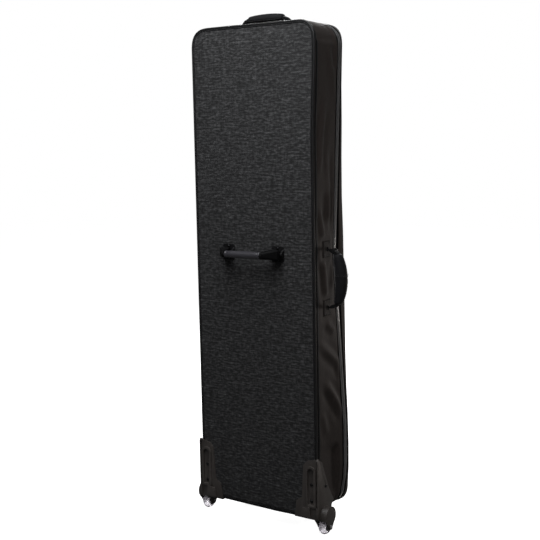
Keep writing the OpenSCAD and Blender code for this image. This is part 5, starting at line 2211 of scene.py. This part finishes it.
@dataclass
class Studio:
    """Camera, floor and soft lights."""

    from_panel: tuple[float, float, float] = (1.614, -2.324, 1.119)
    yaw: float = 33.86
    pitch: float = 7.46
    roll: float = 1.08
    lens: float = 67.0
    sensor: float = 36.0
    ambient: float = 0.03
    floor_half: float = 9.0
    floor_under: float = 0.3 * MM
    floor_dim: Colour = (0.15, 0.15, 0.15)
    floor_pale: Colour = (0.9, 0.9, 0.9)
    floor_glow: float = 0.97
    lamps: tuple[Lamp, ...] = (
        Lamp("key", (0.15, -0.95, 2.35), (0, 0, 1.25), 1.7, 42.0, (0.97, 0.98, 1.0)),
        Lamp("side", (1.5, -0.55, 0.6), (0.2, 0, 0.6), 0.5, 1.7, (1.0, 0.95, 0.91)),
        Lamp("rim", (0.8, 1.15, 0.54), (0.2, 0, 0.54), 0.35, 3.8, (1.0, 0.93, 0.88)),
        Lamp("rear", (-1.2, 2.6, 2.2), (0, 0, 0.8), 1.4, 70.0),
    )

    def build(self) -> None:
        """Sets up the studio."""
        scene = bpy.context.scene
        scene.view_settings.view_transform = "Standard"
        self.camera(scene)
        self.floor(scene)
        self.backdrop(scene)
        self.lights(scene)

    def camera(self, scene: bpy.types.Scene) -> None:
        """Places the camera at the photograph's viewing angle.

        Args:
            scene: The scene.
        """
        data = bpy.data.cameras.new("camera")
        data.lens, data.sensor_width = self.lens, self.sensor
        cam = bpy.data.objects.new("camera", data)
        scene.collection.objects.link(cam)
        yaw, pitch, roll = (math.radians(a) for a in (self.yaw, self.pitch, self.roll))
        ahead = Vector((-math.sin(yaw) * math.cos(pitch), math.cos(yaw) * math.cos(pitch), -math.sin(pitch)))
        right = Vector((math.cos(yaw), math.sin(yaw), 0))
        down = ahead.cross(right)
        c, s = math.cos(roll), math.sin(roll)
        right, down = c * right + s * down, -s * right + c * down
        place = Vector((FORM.middle_x, FORM.front_y, 0)) + Vector(self.from_panel)
        cam.matrix_world = Matrix.Translation(place) @ Matrix((right, -down, -ahead)).transposed().to_4x4()
        scene.camera = cam

    @staticmethod
    def seen(sheet: NodeSheet) -> Socket:
        """Whether a ray comes from the camera, straight or through something clear."""
        path = sheet.add("LightPath")
        return sheet.math("MAXIMUM", path.outputs["Is Camera Ray"], path.outputs["Is Transmission Ray"])

    def floor(self, scene: bpy.types.Scene) -> None:
        """Lays the pale floor, which throws back less light than it shows.

        Args:
            scene: The scene.
        """
        bm = bmesh.new()
        bmesh.ops.create_grid(bm, x_segments=8, y_segments=8, size=self.floor_half)
        bmesh.ops.translate(bm, verts=bm.verts[:], vec=(0, 0, -self.floor_under))
        mesh = bpy.data.meshes.new("floor")
        bm.to_mesh(mesh)
        bm.free()
        floor = bpy.data.objects.new("floor", mesh)
        scene.collection.objects.link(floor)
        made = bpy.data.materials.new("floor paint")
        made.use_nodes = True
        sheet = NodeSheet(made.node_tree)
        seen = self.seen(sheet)
        sheet.fill(made.node_tree.nodes["Principled BSDF"], {
            "Base Color": sheet.blend(seen, self.floor_dim, self.floor_pale),
            "Emission Strength": sheet.math("MULTIPLY", seen, self.floor_glow),
            "Emission Color": rgba((1, 1, 1)),
            "Roughness": 0.8,
        })
        mesh.materials.append(made)

    def backdrop(self, scene: bpy.types.Scene) -> None:
        """Makes the world white to look at, and dim as a light.

        Args:
            scene: The scene.
        """
        world = bpy.data.worlds.new("studio")
        world.use_nodes = True
        sheet = NodeSheet(world.node_tree)
        strength = sheet.ramp(self.seen(sheet), 0.0, 1.0, self.ambient, 1.0)
        sheet.fill(world.node_tree.nodes["Background"], {"Color": rgba((1, 1, 1)), "Strength": strength})
        scene.world = world

    def lights(self, scene: bpy.types.Scene) -> None:
        """Hangs the soft lights.

        Args:
            scene: The scene.
        """
        for lamp in self.lamps:
            data = bpy.data.lights.new(lamp.name, "AREA")
            data.shape, data.size, data.energy, data.color = "DISK", lamp.size, lamp.power, lamp.tint
            light = bpy.data.objects.new(lamp.name, data)
            light.visible_camera = False
            scene.collection.objects.link(light)
            turn = (Vector(lamp.aim) - Vector(lamp.place)).to_track_quat("-Z", "Y").to_matrix().to_4x4()
            light.matrix_world = Matrix.Translation(lamp.place) @ turn


def main() -> None:
    """Builds the studio and every sub-assembly."""
    logging.basicConfig(level=logging.INFO, format="%(name)s: %(message)s")
    Studio().build()
    shell = Shell(FORM)
    shell.build()
    Zip(FORM).build()
    top = Arch(78 * MM, 23.2 * MM, 21.6 * MM, 58 * MM, 8 * MM)
    side = Arch(82 * MM, 48.5 * MM, 37 * MM, 71 * MM)
    bands = (-0.2, -0.14)
    for handle in (
        WebHandle("top_handle", Body.TOP_HANDLE, Side.TOP, top, 24.5 * MM, 32 * MM, 20 * MM, filling=300.0),
        WebHandle("side_handle", Body.SIDE_HANDLE, Side.RIGHT, side, 39 * MM, 32 * MM, 18 * MM, bands),
    ):
        handle.build(shell)
    for part in (PanelGrip(), Tyres(), Pocket(), Ties(), Fittings()):
        part.build()
    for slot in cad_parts["back_panel_board"].material_slots:
        slot.material = BOARD.material()


if __name__ == "__main__":
    main()
